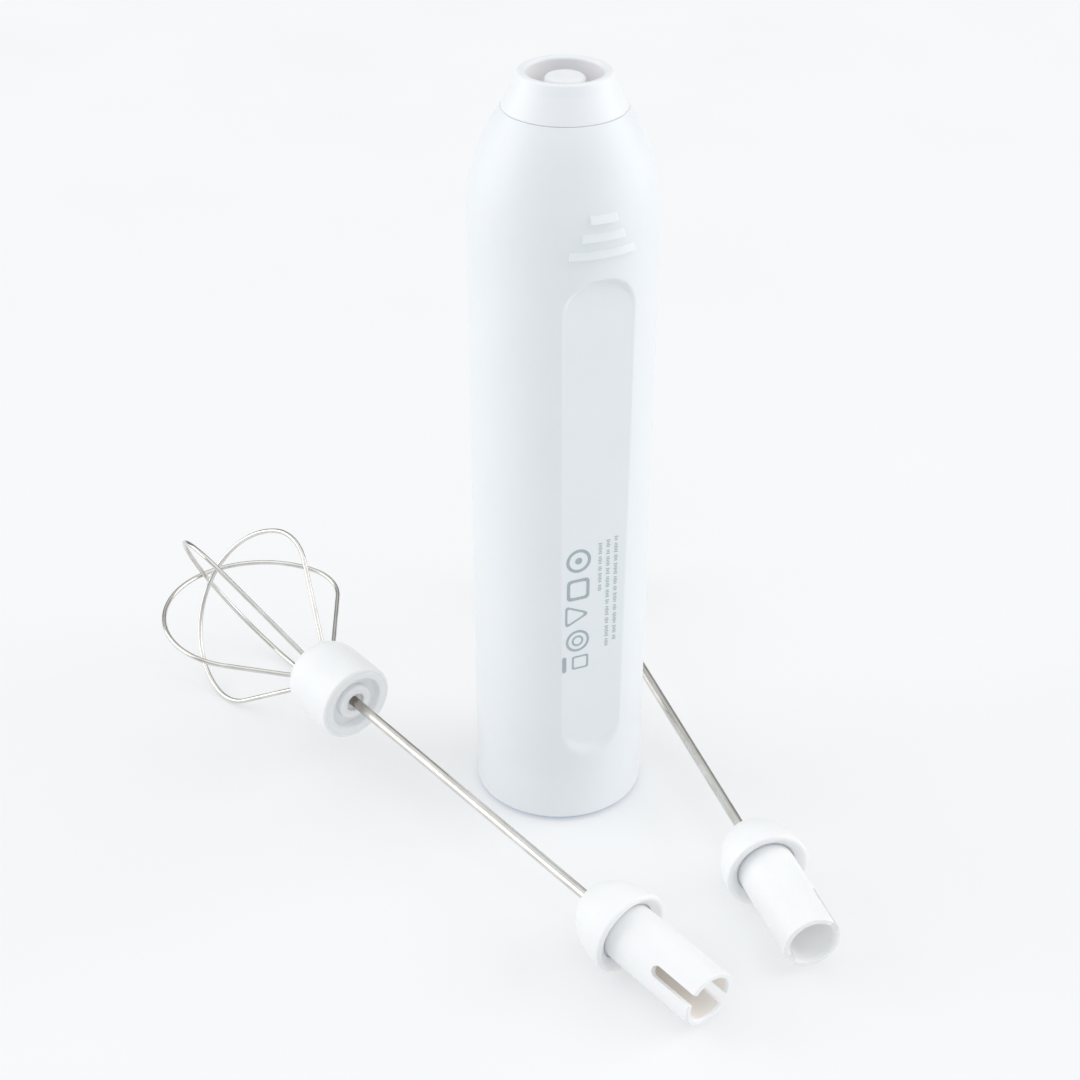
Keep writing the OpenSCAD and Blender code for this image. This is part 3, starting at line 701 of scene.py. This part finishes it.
# ---------- handle ----------
def shoulder_r(z, inset=0.0):
    """Radius of the shoulder at a height, or of the surface that lies inset inside it."""
    rise = max(0.0, z - SHOULDER_Z)
    return GRIP_R - SHOULDER_ARC + math.sqrt((SHOULDER_ARC - inset) ** 2 - rise ** 2)


def grip_radius(z):
    """Radius of the outside, with its slow taper below the shoulder."""
    if z >= SHOULDER_Z:
        return shoulder_r(z)
    low = CASE_Z + FOOT_FILLET
    return FOOT_EDGE_R + (GRIP_R - FOOT_EDGE_R) * max(0.0, z - low) / (SHOULDER_Z - low)


def inside_flat(x, z):
    """How far a point lies inside the outline of the long flat, negative outside it."""
    low, high = FLAT_LOW + FLAT_HALF, FLAT_HIGH - FLAT_HALF
    return FLAT_HALF - math.hypot(x, z - min(max(z, low), high))


def grip_point(angle, r, z):
    """A point of the outside, pressed in to the flat where it lies over one."""
    x, y = turn(r, 0, angle)
    soft = FLAT_SOFT + FLAT_FADE * max(0.0, FLAT_LOW + FLAT_HALF - z) / FLAT_HALF
    share = (inside_flat(x, z) + soft) / (2 * soft)
    share = min(max(share, 0.0), 1.0)
    share = share * share * (3 - 2 * share)
    if abs(y) > FLAT_Y:
        y += share * (math.copysign(FLAT_Y, y) - y)
    return x, y, z


def steps_between(low, high, step):
    """Even stations from low to just before high."""
    count = max(1, round((high - low) / step))
    return [low + (high - low) * i / count for i in range(count)]


def casing_shell():
    """The casing as rings of points: up the outside, over the lip and down the inside."""
    fine, coarse, reach, dense = 0.9, 3.5, 28.8, 0.27
    angles = []
    for middle in (-90, 90):
        angles += steps_between(middle - reach, middle + reach, fine)
        angles += steps_between(middle + reach, middle + 180 - reach, coarse)
    end_zone = FLAT_HALF + 1
    edge = FOOT_EDGE_R - FOOT_FILLET
    foot_arc = arc(edge, CASE_Z + FOOT_FILLET, FOOT_FILLET, -70, 0, 8)[:-1]
    heights = (
        steps_between(CASE_Z + FOOT_FILLET, FLAT_LOW - 2, 3)
        + steps_between(FLAT_LOW - 2, FLAT_LOW + end_zone, dense)
        + steps_between(FLAT_LOW + end_zone, FLAT_HIGH - end_zone, 4)
        + steps_between(FLAT_HIGH - end_zone, FLAT_HIGH + 1, dense)
        + steps_between(FLAT_HIGH + 1, SEAM_Z - LIP_FILLET, 0.8)
    )
    seam_r = shoulder_r(SEAM_Z)
    lip_arc = arc(seam_r - LIP_FILLET + 0.02, SEAM_Z - LIP_FILLET, LIP_FILLET, 25, 90, 4)
    inner = [(SPIGOT_R + 0.05, SEAM_Z), (SPIGOT_R + 0.05, LEDGE_Z - 1)]
    inner += [(shoulder_r(z, WALL), z) for z in (LEDGE_Z - 1, 134, 131, 128, SHOULDER_Z)]
    inner += [(CASE_BORE, z) for z in (110, 90, 60, 30, CASE_Z)]
    rings = [[(*turn(r, 0, a), z) for a in angles] for r, z in foot_arc]
    rings += [[grip_point(a, grip_radius(z), z) for a in angles] for z in heights]
    rings += [[(*turn(r, 0, a), z) for a in angles] for r, z in lip_arc + inner]
    count = len(angles)
    faces = []
    for i in range(len(rings)):
        faces += band_faces(i * count, ((i + 1) % len(rings)) * count, count)
    return [p for ring in rings for p in ring], faces


def edge_stations(length, fillet):
    """Stations along a bar, close together over the rounded edges."""
    near = [fillet * f for f in (0, 0.08, 0.25, 0.5, 0.8, 1.2)]
    middle = steps_between(near[-1], length - near[-1], 0.7)[1:]
    return near + middle + [length - d for d in reversed(near)]


def raised_bar(length, height, out, fillet, root, on_surface):
    """A bar with rounded edges, laid on a surface by on_surface(along, across, outwards)."""
    along = [s - length / 2 for s in edge_stations(length, fillet)]
    across = [s - height / 2 for s in edge_stations(height, fillet)]
    count = len(across)
    verts = []
    for s in along:
        for t in across:
            gap = min(length / 2 - abs(s), height / 2 - abs(t), fillet)
            rise = out - fillet + math.sqrt(max(0.0, fillet ** 2 - (fillet - gap) ** 2))
            verts.append(on_surface(s, t, rise))
    for s in along:
        for t in across:
            verts.append(on_surface(s, t, -root))
    half = len(along) * count
    faces = []
    for i in range(len(along) - 1):
        for k in range(count - 1):
            a = i * count + k
            faces.append((a, a + 1, a + count + 1, a + count))
            faces.append((half + a, half + a + count, half + a + count + 1, half + a + 1))
    rim = list(range(count))
    rim += [i * count + count - 1 for i in range(1, len(along))]
    rim += [(len(along) - 1) * count + k for k in range(count - 2, -1, -1)]
    rim += [i * count for i in range(len(along) - 2, 0, -1)]
    faces += [(a, half + a, half + b, b) for a, b in zip(rim, rim[1:] + rim[:1])]
    return verts, faces


def grip_ribs():
    """The three ribs above the flat, each leaning out towards its lower edge."""
    ribs = []
    middle_rise, lean = 0.7, 1.15
    for i, sweep_angle in enumerate(RIB_SWEEP):
        z = RIB_Z + i * RIB_STEP
        r = shoulder_r(z)

        def on_shoulder(s, t, out, z=z, r=r):
            angle = math.degrees(s / r) - 90
            slope = middle_rise - lean * t / RIB_HEIGHT if out > 0 else 1
            return (*turn(shoulder_r(z + t) + out * slope, 0, angle), z + t)

        length = math.radians(sweep_angle) * r
        ribs.append(raised_bar(length, RIB_HEIGHT, RIB_OUT, RIB_FILLET, RIB_ROOT, on_shoulder))
    return join(*ribs)


def at_front(x, z):
    """The matrix that turns a shape made along Z to face out of the handle's front, at x and z."""
    return Matrix.Translation((x, 0, z)) @ FRONT


def flared_hole(r, flare, x, z):
    """A round cutter along +Y whose mouth opens at the flat."""
    mouth = r + flare
    outline = [
        (0, CUT_FROM), (r, CUT_FROM), (r, FLAT_Y - flare), (mouth, FLAT_Y), (mouth, CUT_TO), (0, CUT_TO),
    ]
    return moved(lathe(outline, 64), at_front(x, z))


def make_casing():
    shell = combined("casing", casing_shell(), grip_ribs(), "UNION")
    holes = [flared_hole(BUTTON_R + BUTTON_GAP, 0.3, 0, BUTTON_Z)]
    holes += [flared_hole(LIGHT_R + 0.1, 0.12, x, LIGHT_Z) for x in LIGHT_X]
    slot = prism(stadium(PORT_W + 1, PORT_H + 1), CUT_FROM, CUT_TO)
    holes.append(moved(slot, at_front(0, PORT_Z)))
    piece("casing_shell", cut(shell, *holes), "handle", "casing_white", ["casing"], sharp=38)


def make_nozzle():
    """The collar, with the cup's inner faces in a material of their own: painted shade and glow."""
    seam_r = shoulder_r(SEAM_Z) - 0.1
    outline = soften([
        (SPIGOT_R, CUP_Z - CUP_FLOOR, 0.3), (SPIGOT_R, SEAM_Z + 0.02, 0), (seam_r, SEAM_Z + 0.02, 0.15),
        (8.95, RIM_Z - 1.9, 3.0), (8.2, RIM_Z, 0.6), (CUP_R, RIM_Z, 0.6), (CUP_R, CUP_Z, 0.8),
        (SHAFT_HOLE_R, CUP_Z, 0.2), (SHAFT_HOLE_R, CUP_Z - CUP_FLOOR, 0.2),
    ], 6)
    ring = piece("nozzle_ring", lathe(outline, 160), "handle", "trim_white", ["nozzle_collar"])
    # the cup's inner faces take the painted shade and glow
    ring.data.materials.append(cup_plastic)
    for face in ring.data.polygons:
        x, y, z = face.center / MM
        face.material_index = 1 if math.hypot(x, y) < CUP_R + 0.01 and z < RIM_Z - 0.4 else 0


def make_base():
    """A shallow cup with a fine groove round its underside."""
    bore, height, floor, groove_r = CASE_BORE - 0.1, 5, 2, 12.9
    inner = bore - 2.4
    outline = soften([
        (0, 0, 0), (groove_r - 0.5, 0, 0), (groove_r, 0.35, 0.1), (groove_r + 0.5, 0, 0.1), (bore, 0, 0.45),
        (bore, height, 0.3), (inner, height, 0.3), (inner, floor, 0.5), (0, floor, 0),
    ], 4)
    piece("foot_cap", lathe(outline, 128), "handle", "trim_white", ["base_cap"])


def make_drive_post():
    """The drive post: a guide above a relieved neck with two low fins."""
    low = CUP_Z + 0.6
    guide_top = RIM_Z - 4.2
    guide_low = guide_top - 4.6
    neck_r = POST_R - 0.3
    outline = soften([
        (SHAFT_R, low, 0), (neck_r, low, 0.2), (neck_r, guide_low - 0.3, 0), (POST_R, guide_low, 0.2),
        (POST_R, guide_top, 0.3), (POST_TIP_R, guide_top + 0.8, 0.4), (POST_TIP_R, TIP_Z, 0.85),
        (0, TIP_Z, 0), (0, TIP_Z - 2.6, 0), (SHAFT_R, TIP_Z - 2.6, 0),
    ], 6)
    root, crest, half = neck_r - 0.2, POST_R + 1.2, 0.95
    fin_outline = soften([(root, -half, 0), (crest, -half, 0.25), (crest, half, 0.25), (root, half, 0)])
    fin = prism(fin_outline, low, low + 5, 0.3)
    shape = join(lathe(outline, 96), *(moved(fin, stand(angle=side)) for side in (0, 180)))
    piece("drive_spindle", shape, "spindle", "trim_white", ["drive_post"])


def make_button():
    """The button's cap: a flange behind the wall, and a dished face."""
    back, flange_r, front = 13.05, 6.5, FLAT_Y + 0.7
    step = back + 0.7
    outline = soften([
        (0, back, 0), (flange_r, back, 0.15), (flange_r, step, 0.15), (BUTTON_R, step, 0.15),
        (BUTTON_R, front, 0.55), (BUTTON_R - 1.1, front, 0.25), (BUTTON_R - 1.35, front - 0.14, 0.15),
        (BUTTON_R - 1.6, front - 0.02, 0.2), (2.4, front - 0.28, 3), (0, front - 0.35, 0),
    ], 6)
    shape = moved(lathe(outline, 96), at_front(0, BUTTON_Z))
    piece("button_cap", shape, "button", "button_grey", ["power_button"])


def make_port():
    """The charging socket: a drawn steel shell, its tongue, and the tongue's contacts."""
    back, mouth, skin = 9.4, 15.1, 0.3
    outside = stadium(PORT_W, PORT_H)
    inside = stadium(PORT_W - 2 * skin, PORT_H - 2 * skin)
    at_port = at_front(0, PORT_Z)
    shell = cut(prism(outside, back, mouth, 0.08), prism(inside, back + 1, mouth + 1))
    piece("port_shell", moved(shell, at_port), "handle", "switch_steel", ["usb_socket"])
    tongue = box_outline(0, 0, 3.3, 0.35, 0.1, 3)
    shape = moved(prism(tongue, back + 0.9, mouth - 1, 0.12), at_port)
    piece("port_tongue", shape, "handle", "chip_black")
    contacts = []
    first, pitch = -2.75, 0.5
    pad_half, pad_low, pad_high = 0.14, 0.3, 0.38
    for i in range(12):
        middle = first + pitch * i
        left, right = middle - pad_half, middle + pad_half
        for side in (-1, 1):
            low, high = side * pad_low, side * pad_high
            pad = [(left, low), (right, low), (right, high), (left, high)]
            contacts.append(prism(pad, back + 1.6, mouth - 1.3))
    piece("port_contacts", moved(join(*contacts), at_port), "handle", "bronze", material=dark_gold)


def loop_strip(outer, inner, low, high):
    """A flat band between two outlines of the same number of points."""
    count = len(outer)
    verts = [(*p, z) for ring in (outer, inner) for z in (low, high) for p in ring]
    faces = []
    for k in range(count):
        n = (k + 1) % count
        faces.append((k, n, count + n, count + k))
        faces.append((2 * count + k, 3 * count + k, 3 * count + n, 2 * count + n))
        faces.append((k, 2 * count + k, 2 * count + n, n))
        faces.append((count + k, count + n, 3 * count + n, 3 * count + k))
    return verts, faces


def make_label():
    """Plain printed shapes on the back: rows of short ticks, and simple outlines with a bar."""
    low, high = FLAT_Y - 0.02, FLAT_Y + 0.03
    shapes = []

    def dash(x, z0, z1, half):
        """A bar from z0 to z1 with round ends."""
        r = min(half, (z1 - z0) / 2) * 0.9
        outline = [(x - half, z0, r), (x + half, z0, r), (x + half, z1, r), (x - half, z1, r)]
        shapes.append(prism(soften(outline, 3), low, high))

    tick, pitch, gap = 0.17, 0.36, 0.42
    rows = {4.5: (64.6, 42.4), 2.9: (64.2, 40.8), 1.3: (63.8, 53)}
    for row, (x, (start, end)) in enumerate(rows.items()):
        z, count = start, 0
        while z > end:
            for k in range(3 + (row * 2 + count * 3) % 5):
                dash(x, z - tick, z, 0.42 if (k + count) % 3 == 0 else 0.3)
                z -= pitch
            z -= gap
            count += 1

    def band(points, thick):
        """An outline drawn as a line of a thickness."""
        middle_x = sum(p[0] for p in points) / len(points)
        middle_z = sum(p[1] for p in points) / len(points)
        reach = max(math.hypot(p[0] - middle_x, p[1] - middle_z) for p in points)
        share = 1 - thick / reach
        inner = [(middle_x + (x - middle_x) * share, middle_z + (z - middle_z) * share) for x, z in points]
        shapes.append(loop_strip(points, inner, low, high))

    x = -3.1
    band(arc(x, 60.9, 2.5, 0, 360, 48)[:-1], 0.62)
    dash(x, 60.2, 61.6, 0.7)
    band(box_outline(x, 54.6, 2.3, 2.3, 0.8), 0.8)
    band(soften([(x - 2.6, 46.4, 0.5), (x + 2.6, 48.9, 0.5), (x - 2.6, 51.4, 0.5)], 4), 0.75)
    band(arc(x, 43, 2.4, 0, 360, 48)[:-1], 0.5)
    band(arc(x, 43, 1.2, 0, 360, 32)[:-1], 0.4)
    band(box_outline(x + 0.6, 38, 1.7, 1.5, 0.4), 0.5)
    dash(x - 2.7, 36.2, 39.8, 0.42)
    piece("label_print", moved(join(*shapes), BACK), "handle", "button_grey", material=label_ink)


make_casing()
make_nozzle()
make_base()
make_drive_post()
make_button()
make_port()
make_label()


# ---------- whisks ----------
def whisk_frame(mount_name):
    """Local Z runs from the sleeve's mouth along the rod, local X points down and local Y lies level."""
    mount = mounts[mount_name]
    along = -Vector(mount["axis"])
    level = Vector((0, 0, 1)).cross(along).normalized()
    down = level.cross(along)
    mouth = Vector(mount["pos_m"]) / MM - along * MOUNT_DEPTH
    return axes_at(mouth, down, level, along)


whisk_at = {"balloon": whisk_frame("balloon_socket"), "froth": whisk_frame("froth_socket")}


def whisk_piece(name, shape, whisk, slot, replaces, **more):
    """A piece shaped along the whisk's own axes, and put where that whisk lies."""
    return piece(name, moved(shape, whisk_at[whisk]), f"{whisk}_whisk", slot, replaces, **more)


def steel_piece(name, shape, whisk, slot, replaced, grain=None, material=None):
    """A rod or wire, streaked along its own length: a turned piece's grain is its own axes."""
    whisk_piece(name, shape, whisk, slot, [replaced], grain=grain or shape[0], material=material)


def coupling(slot_turn):
    """The slotted sleeve, the groove under the skirt, and the domed cap that holds the rod."""
    rim = SLEEVE_LEN
    floor_at = rim + GROOVE_DEPTH
    crevice_at, crevice_r = floor_at + CREVICE_DEPTH, SLEEVE_R + CREVICE_W
    straight = 0.5
    end_angle = math.degrees(math.acos(DOME_END_R / CAP_R))
    dome = [
        (CAP_R * c, rim + straight + (DOME_LEN - straight) * s)
        for c, s in arc(0, 0, 1, 0, end_angle, 22)[1:]
    ]
    top = dome[-1][1]
    outline = soften([
        (BORE_R, BORE_DEPTH, 0.4), (BORE_R, 0.5, 0.3), (BORE_R + 0.3, 0, 0.12), (SLEEVE_R, 0, 0.28),
        (SLEEVE_R, crevice_at, 0), (crevice_r, crevice_at, 0), (crevice_r, floor_at - 0.12, 0.12),
        (CAP_R - SKIRT - 0.1, rim, 0.8), (CAP_R, rim, 0.6), (CAP_R, rim + 0.9, 0),
    ], 5)
    outline += [p for p in dome if p[1] > rim + 1.2]
    outline += soften([
        (*dome[-1], 0), (DOME_END_R - 0.35, top + 0.12, 0.3),
        (ROD_HOLE_R, top + 0.1, 0.25), (ROD_HOLE_R, rim, 0),
    ], 4)[1:]
    outline += [(0, rim), (0, BORE_DEPTH)]
    body = lathe(outline, 128)
    slot = arc(0, SLOT_LEN - SLOT_W / 2, SLOT_W / 2, 0, 180, 14) + [(-SLOT_W / 2, -2), (SLOT_W / 2, -2)]
    return cut(body, moved(prism(slot, -10, 10), stand(angle=slot_turn) @ SIDEWAYS))


def rod(low, high):
    """A rod with rounded ends and a row of vertices every few millimetres."""
    outline = soften([(0, low, 0), (ROD_R, low, 0.15), (ROD_R, high, 0.15), (0, high, 0)], 4)
    points = []
    for a, b in zip(outline, outline[1:]):
        long = abs(b[1] - a[1]) >= 10
        points += [(a[0], z) for z in steps_between(a[1], b[1], 5)] if long else [a]
    return lathe(points + [outline[-1]], 48)


def make_couplings():
    for whisk in ("balloon", "froth"):
        shape, replaced = coupling(SLOT_TURN[whisk]), [f"{whisk}_coupling"]
        sleeve = whisk_piece(f"{whisk}_sleeve", shape, whisk, "whisk_plastic", replaced, bevel=0.16)
        # the bore's inner faces take the painted shade and glow
        sleeve.data.materials.append(bore_painted_shade_and_glow[whisk])
        to_local = whisk_at[whisk].inverted()
        for face in sleeve.data.polygons:
            x, y, z = to_local @ (face.center / MM)
            inside = math.hypot(x, y) < BORE_R + 0.02 and 0.4 < z < BORE_DEPTH + 0.1
            face.material_index = 1 if inside else 0


def make_hub():
    """The hub with its recess and its six wire holes, and the plug in its middle."""
    nose, nose_r = 5.5, 3
    recess, plug_end, top = HUB_AT + HUB_RECESS, HUB_AT + PLUG_LEN, HUB_AT + HUB_LEN
    outline = soften([
        (PLUG_R, recess, 0), (HUB_RECESS_R, recess, 0.5), (HUB_RECESS_R, HUB_AT, 0.4),
        (7.15, HUB_AT, 0.2), (7.3, HUB_AT + 0.14, 0.12), (7.5, HUB_AT + 0.02, 0.2),
        (CAP_R, HUB_AT + 0.02, 0.65), (CAP_R, top - nose, 0),
    ], 5)
    outline += [(CAP_R - nose_r + nose_r * c, top - nose + nose * s) for c, s in arc(0, 0, 1, 0, 90, 14)[1:]]
    outline += [(0, top), (0, plug_end), (PLUG_R, plug_end)]
    low, hole_r = HUB_AT + LEG_START - 0.1, WIRE_R + 0.03
    hole = [(0, low), (hole_r, low), (hole_r, top - 0.1), (WIRE_R + 0.5, top + 0.4), (0, top + 0.4)]
    holes = [
        moved(lathe(hole, 24), stand(*turn(LEG_R, 0, loop_turn + side)))
        for loop_turn in LOOP_TURN
        for side in (0, 180)
    ]
    whisk_piece("hub_shell", cut(lathe(outline, 128), *holes), "balloon", "whisk_plastic", ["balloon_hub"])
    face, pit, pit_r = HUB_AT + 0.4, HUB_AT + 1.3, 1.95
    plug = soften([
        (ROD_HOLE_R, pit, 0.1), (pit_r, pit, 0.3), (pit_r, face, 0.3),
        (PLUG_R - 0.02, face, 0.6), (PLUG_R - 0.02, plug_end, 0.4), (ROD_HOLE_R, plug_end, 0),
    ], 4)
    whisk_piece("hub_core", lathe(plug, 96), "balloon", "whisk_plastic", ["balloon_hub_plug"])


def half_loop(half, crown):
    """Half of a loop in its own plane, from the hub out to the crown: (distance from the rod, height)."""
    leg_z = HUB_LEN + 0.2
    side_x = half - BEND_R
    lean = math.radians(LEG_ANGLE)
    side_z = leg_z + ((side_x - LEG_R) * math.cos(lean) + BEND_R) / math.sin(lean)
    rise = crown - side_z
    crown_r = (rise * rise + side_x * side_x - BEND_R * BEND_R) / (2 * (rise - BEND_R))
    crown_z = crown - crown_r
    top_angle = math.degrees(math.atan2(side_z - crown_z, side_x))
    start = [
        (LEG_R, LEG_START), (LEG_R, HUB_LEN - 0.15), (LEG_R + 0.03, HUB_LEN + 0.05),
        (LEG_R + 0.1, HUB_LEN + 0.25), (LEG_R + 0.24, HUB_LEN + 0.48),
    ]
    side = arc(side_x, side_z, BEND_R, -LEG_ANGLE, top_angle, 40)
    return start + side + arc(0, crown_z, crown_r, top_angle + 1.5, 90, 24)


def make_loops():
    for i in range(3):
        near = half_loop(LOOP_HALF + LOOP_LEAN[i], CROWN_AT[i])
        far = half_loop(LOOP_HALF - LOOP_LEAN[i], CROWN_AT[i])
        path = [(x, 0, HUB_AT + z) for x, z in near] + [(-x, 0, HUB_AT + z) for x, z in reversed(far[:-1])]
        shape = moved(sweep(path, WIRE_R), stand(angle=LOOP_TURN[i]))
        grain = sweep_grain(path, WIRE_R)
        steel_piece(f"wire_loop_{i + 1}", shape, "balloon", "wire_steel", f"balloon_loop_{i + 1}", grain)


def bezier(a, b, c, d, n):
    """A cubic curve from a to d in n steps."""
    a, b, c, d = (Vector(p) for p in (a, b, c, d))
    return [
        a * (1 - t) ** 3 + b * 3 * t * (1 - t) ** 2 + c * 3 * t * t * (1 - t) + d * t ** 3
        for t in [i / n for i in range(n + 1)]
    ]


def ring_path():
    """One wire: the shank, a bend out to the rim, a bend into the circle, and the circle itself."""
    bend, join_angle = 1.6, 10
    shank_top = RING_AT - bend
    z = RING_AT
    path = [Vector((0, 0, RING_AT - 3.9)), Vector((0, 0, shank_top - 0.6))]
    path += bezier((0, 0, shank_top), (0, 0, z - bend * 0.45), (-bend * 0.45, 0, z), (-bend, 0, z), 8)
    reach = RING_R - 2.2
    on_ring = Vector((*turn(RING_R, 0, 180 - join_angle), z))
    tangent = Vector((*turn(1, 0, 90 - join_angle), 0))
    path += bezier((-reach, 0, z), (-RING_R + 0.7, 0, z), on_ring - tangent * 1.1, on_ring, 10)
    path += [Vector((*p, z)) for p in arc(0, 0, RING_R, 180 - join_angle, -176.5, 110)[1:]]
    return path


def spring_path():
    """The helix wound round the ring, open where the spoke meets it."""
    per_turn, gap = 22, 11
    count = COIL_TURNS * per_turn
    path = []
    for i in range(count + 1):
        around = 180 + gap + (360 - 2 * gap) * i / count
        wound = 2 * math.pi * i / per_turn
        r = RING_R + COIL_R * math.cos(wound)
        path.append((*turn(r, 0, around), RING_AT + COIL_R * math.sin(wound)))
    return path


def ferrule():
    """A short tube, pinched at two places round it."""
    middle, half, end_r, r, chamfer = RING_AT - FERRULE_BACK, 2.5, 1.3, 1.6, 0.2
    pinch, pinch_at, pinch_reach = 0.16, 1.1, 0.55
    rows = [(end_r, -half), (r, -half + chamfer)]
    rows += [(r, -half + chamfer + (2 * half - 2 * chamfer) * i / 24) for i in range(1, 24)]
    rows += [(r, half - chamfer), (end_r, half), (0, half), (0, -half)]
    verts, faces = lathe([(r, middle + z) for r, z in rows], 48)
    pinched = []
    for v in verts:
        x, y, z = v
        depth = sum(math.exp(-((z - middle - at) / pinch_reach) ** 2) for at in (-pinch_at, pinch_at))
        squeeze = 1 - pinch * depth * math.cos(2 * math.atan2(y, x)) ** 2
        pinched.append((x * squeeze, y * squeeze, z))
    return pinched, faces


make_couplings()
make_hub()
make_loops()
balloon_rod = rod(ROD_START, HUB_AT + PLUG_LEN - 1.5)
steel_piece("balloon_shaft", balloon_rod, "balloon", "rod_steel", "balloon_rod", material=stained_steel)
steel_piece("froth_shaft", rod(ROD_START, RING_AT - FERRULE_BACK), "froth", "rod_steel", "froth_rod")
steel_piece("froth_collar", ferrule(), "froth", "rod_steel", "froth_ferrule")
for name, path, radius, sides, replaced in (
    ("froth_wire", ring_path(), RING_WIRE_R, 16, "froth_ring"),
    ("froth_coil", spring_path(), COIL_WIRE_R, 8, "froth_spring"),
):
    grain = sweep_grain(path, radius, sides)
    steel_piece(name, sweep(path, radius, sides), "froth", "wire_steel", replaced, grain)


# ---------- floor and light, in metres ----------
TENT_COLOUR = (0.985, 0.993, 1.0)
FRONT_COLOUR = (0.86, 0.94, 1.0)
TENT_ALL = 0.11
TENT_TOP = 1.27
TENT_FRONT = 0.58
FLOOR_GLOW = 0.385
FLOOR_DARK = (0.51, 0.516, 0.522)
FLOOR_LIGHT = (0.516, 0.522, 0.528)
FLOOR_GLOW_COLOUR = (0.985, 0.992, 1.0)
FLOOR_HALF = 40.0
WALL_DISTANCE = 2.5
WALL_SIZE = 2.25
WALL_POWER = 33.4
AIM_HEIGHT = 0.06


def make_floor():
    half = FLOOR_HALF
    corners = [(-half, -half, 0), (half, -half, 0), (half, half, 0), (-half, half, 0)]
    mesh = bpy.data.meshes.new("floor")
    mesh.from_pydata(corners, [], [(0, 1, 2, 3)])
    material, tree, shader, place = blank("floor_white")
    sheen = noise(tree, place, 60, 3)
    link_all(
        tree,
        (between(tree, spread(tree, sheen, 0, 1), FLOOR_DARK, FLOOR_LIGHT), shader.inputs["Base Color"]),
        (spread(tree, sheen, 0.6, 0.7), shader.inputs["Roughness"]),
    )
    shader.inputs["Specular IOR Level"].default_value = 0.2
    shader.inputs["Emission Color"].default_value = (*FLOOR_GLOW_COLOUR, 1)
    shader.inputs["Emission Strength"].default_value = FLOOR_GLOW
    mesh.materials.append(material)
    floor = add_object("floor", mesh)


def arithmetic(tree, operation, a, b):
    """The result of an operation on a value and on a number or another value."""
    node = tree.nodes.new("ShaderNodeMath")
    node.operation = operation
    tree.links.new(a, node.inputs[0])
    if isinstance(b, (int, float)):
        node.inputs[1].default_value = b
    else:
        tree.links.new(b, node.inputs[1])
    return node.outputs["Value"]


def studio_world():
    """A white tent, brightest overhead, with a weaker glow from the camera's side."""
    world = bpy.data.worlds.new("studio")
    world.use_nodes = True
    tree = world.node_tree
    background = tree.nodes["Background"]
    direction = tree.nodes.new("ShaderNodeTexCoord").outputs["Generated"]
    _, _, ahead = camera_axes()

    def glow(toward):
        facing = tree.nodes.new("ShaderNodeVectorMath")
        facing.operation = "DOT_PRODUCT"
        facing.inputs[1].default_value = toward
        tree.links.new(direction, facing.inputs[0])
        return arithmetic(tree, "POWER", arithmetic(tree, "MAXIMUM", facing.outputs["Value"], 0), 2)

    top = glow(Vector((0, 0, 1)))
    front = glow(Vector((-ahead.x, -ahead.y, 0)).normalized())
    from_top = arithmetic(tree, "MULTIPLY", top, TENT_TOP)
    from_front = arithmetic(tree, "MULTIPLY", front, TENT_FRONT)
    lobes = arithmetic(tree, "ADD", from_top, from_front)
    tree.links.new(arithmetic(tree, "ADD", lobes, TENT_ALL), background.inputs["Strength"])
    tree.links.new(between(tree, front, TENT_COLOUR, FRONT_COLOUR), background.inputs["Color"])
    bpy.context.scene.world = world


def wall_light(name, direction):
    """A square soft light beside the handle, facing its middle."""
    data = bpy.data.lights.new(name, "AREA")
    data.size = WALL_SIZE
    data.energy = WALL_POWER
    light = add_object(name, data)
    direction = direction.normalized()
    light.location = Vector((0, 0, AIM_HEIGHT)) + direction * WALL_DISTANCE
    light.rotation_mode = "QUATERNION"
    light.rotation_quaternion = (-direction).to_track_quat("-Z", "Y")


def make_lights():
    right, _, ahead = camera_axes()
    level = Vector((ahead.x, ahead.y, 0)).normalized()
    sky = Vector((0, 0, 1))
    wall_light("left_wall", -right + level * 0.1 + sky * 0.3)
    wall_light("right_wall", right + level * 0.1 + sky * 0.35)
    bpy.context.scene.view_settings.view_transform = "Standard"


studio_world()
make_floor()
make_lights()
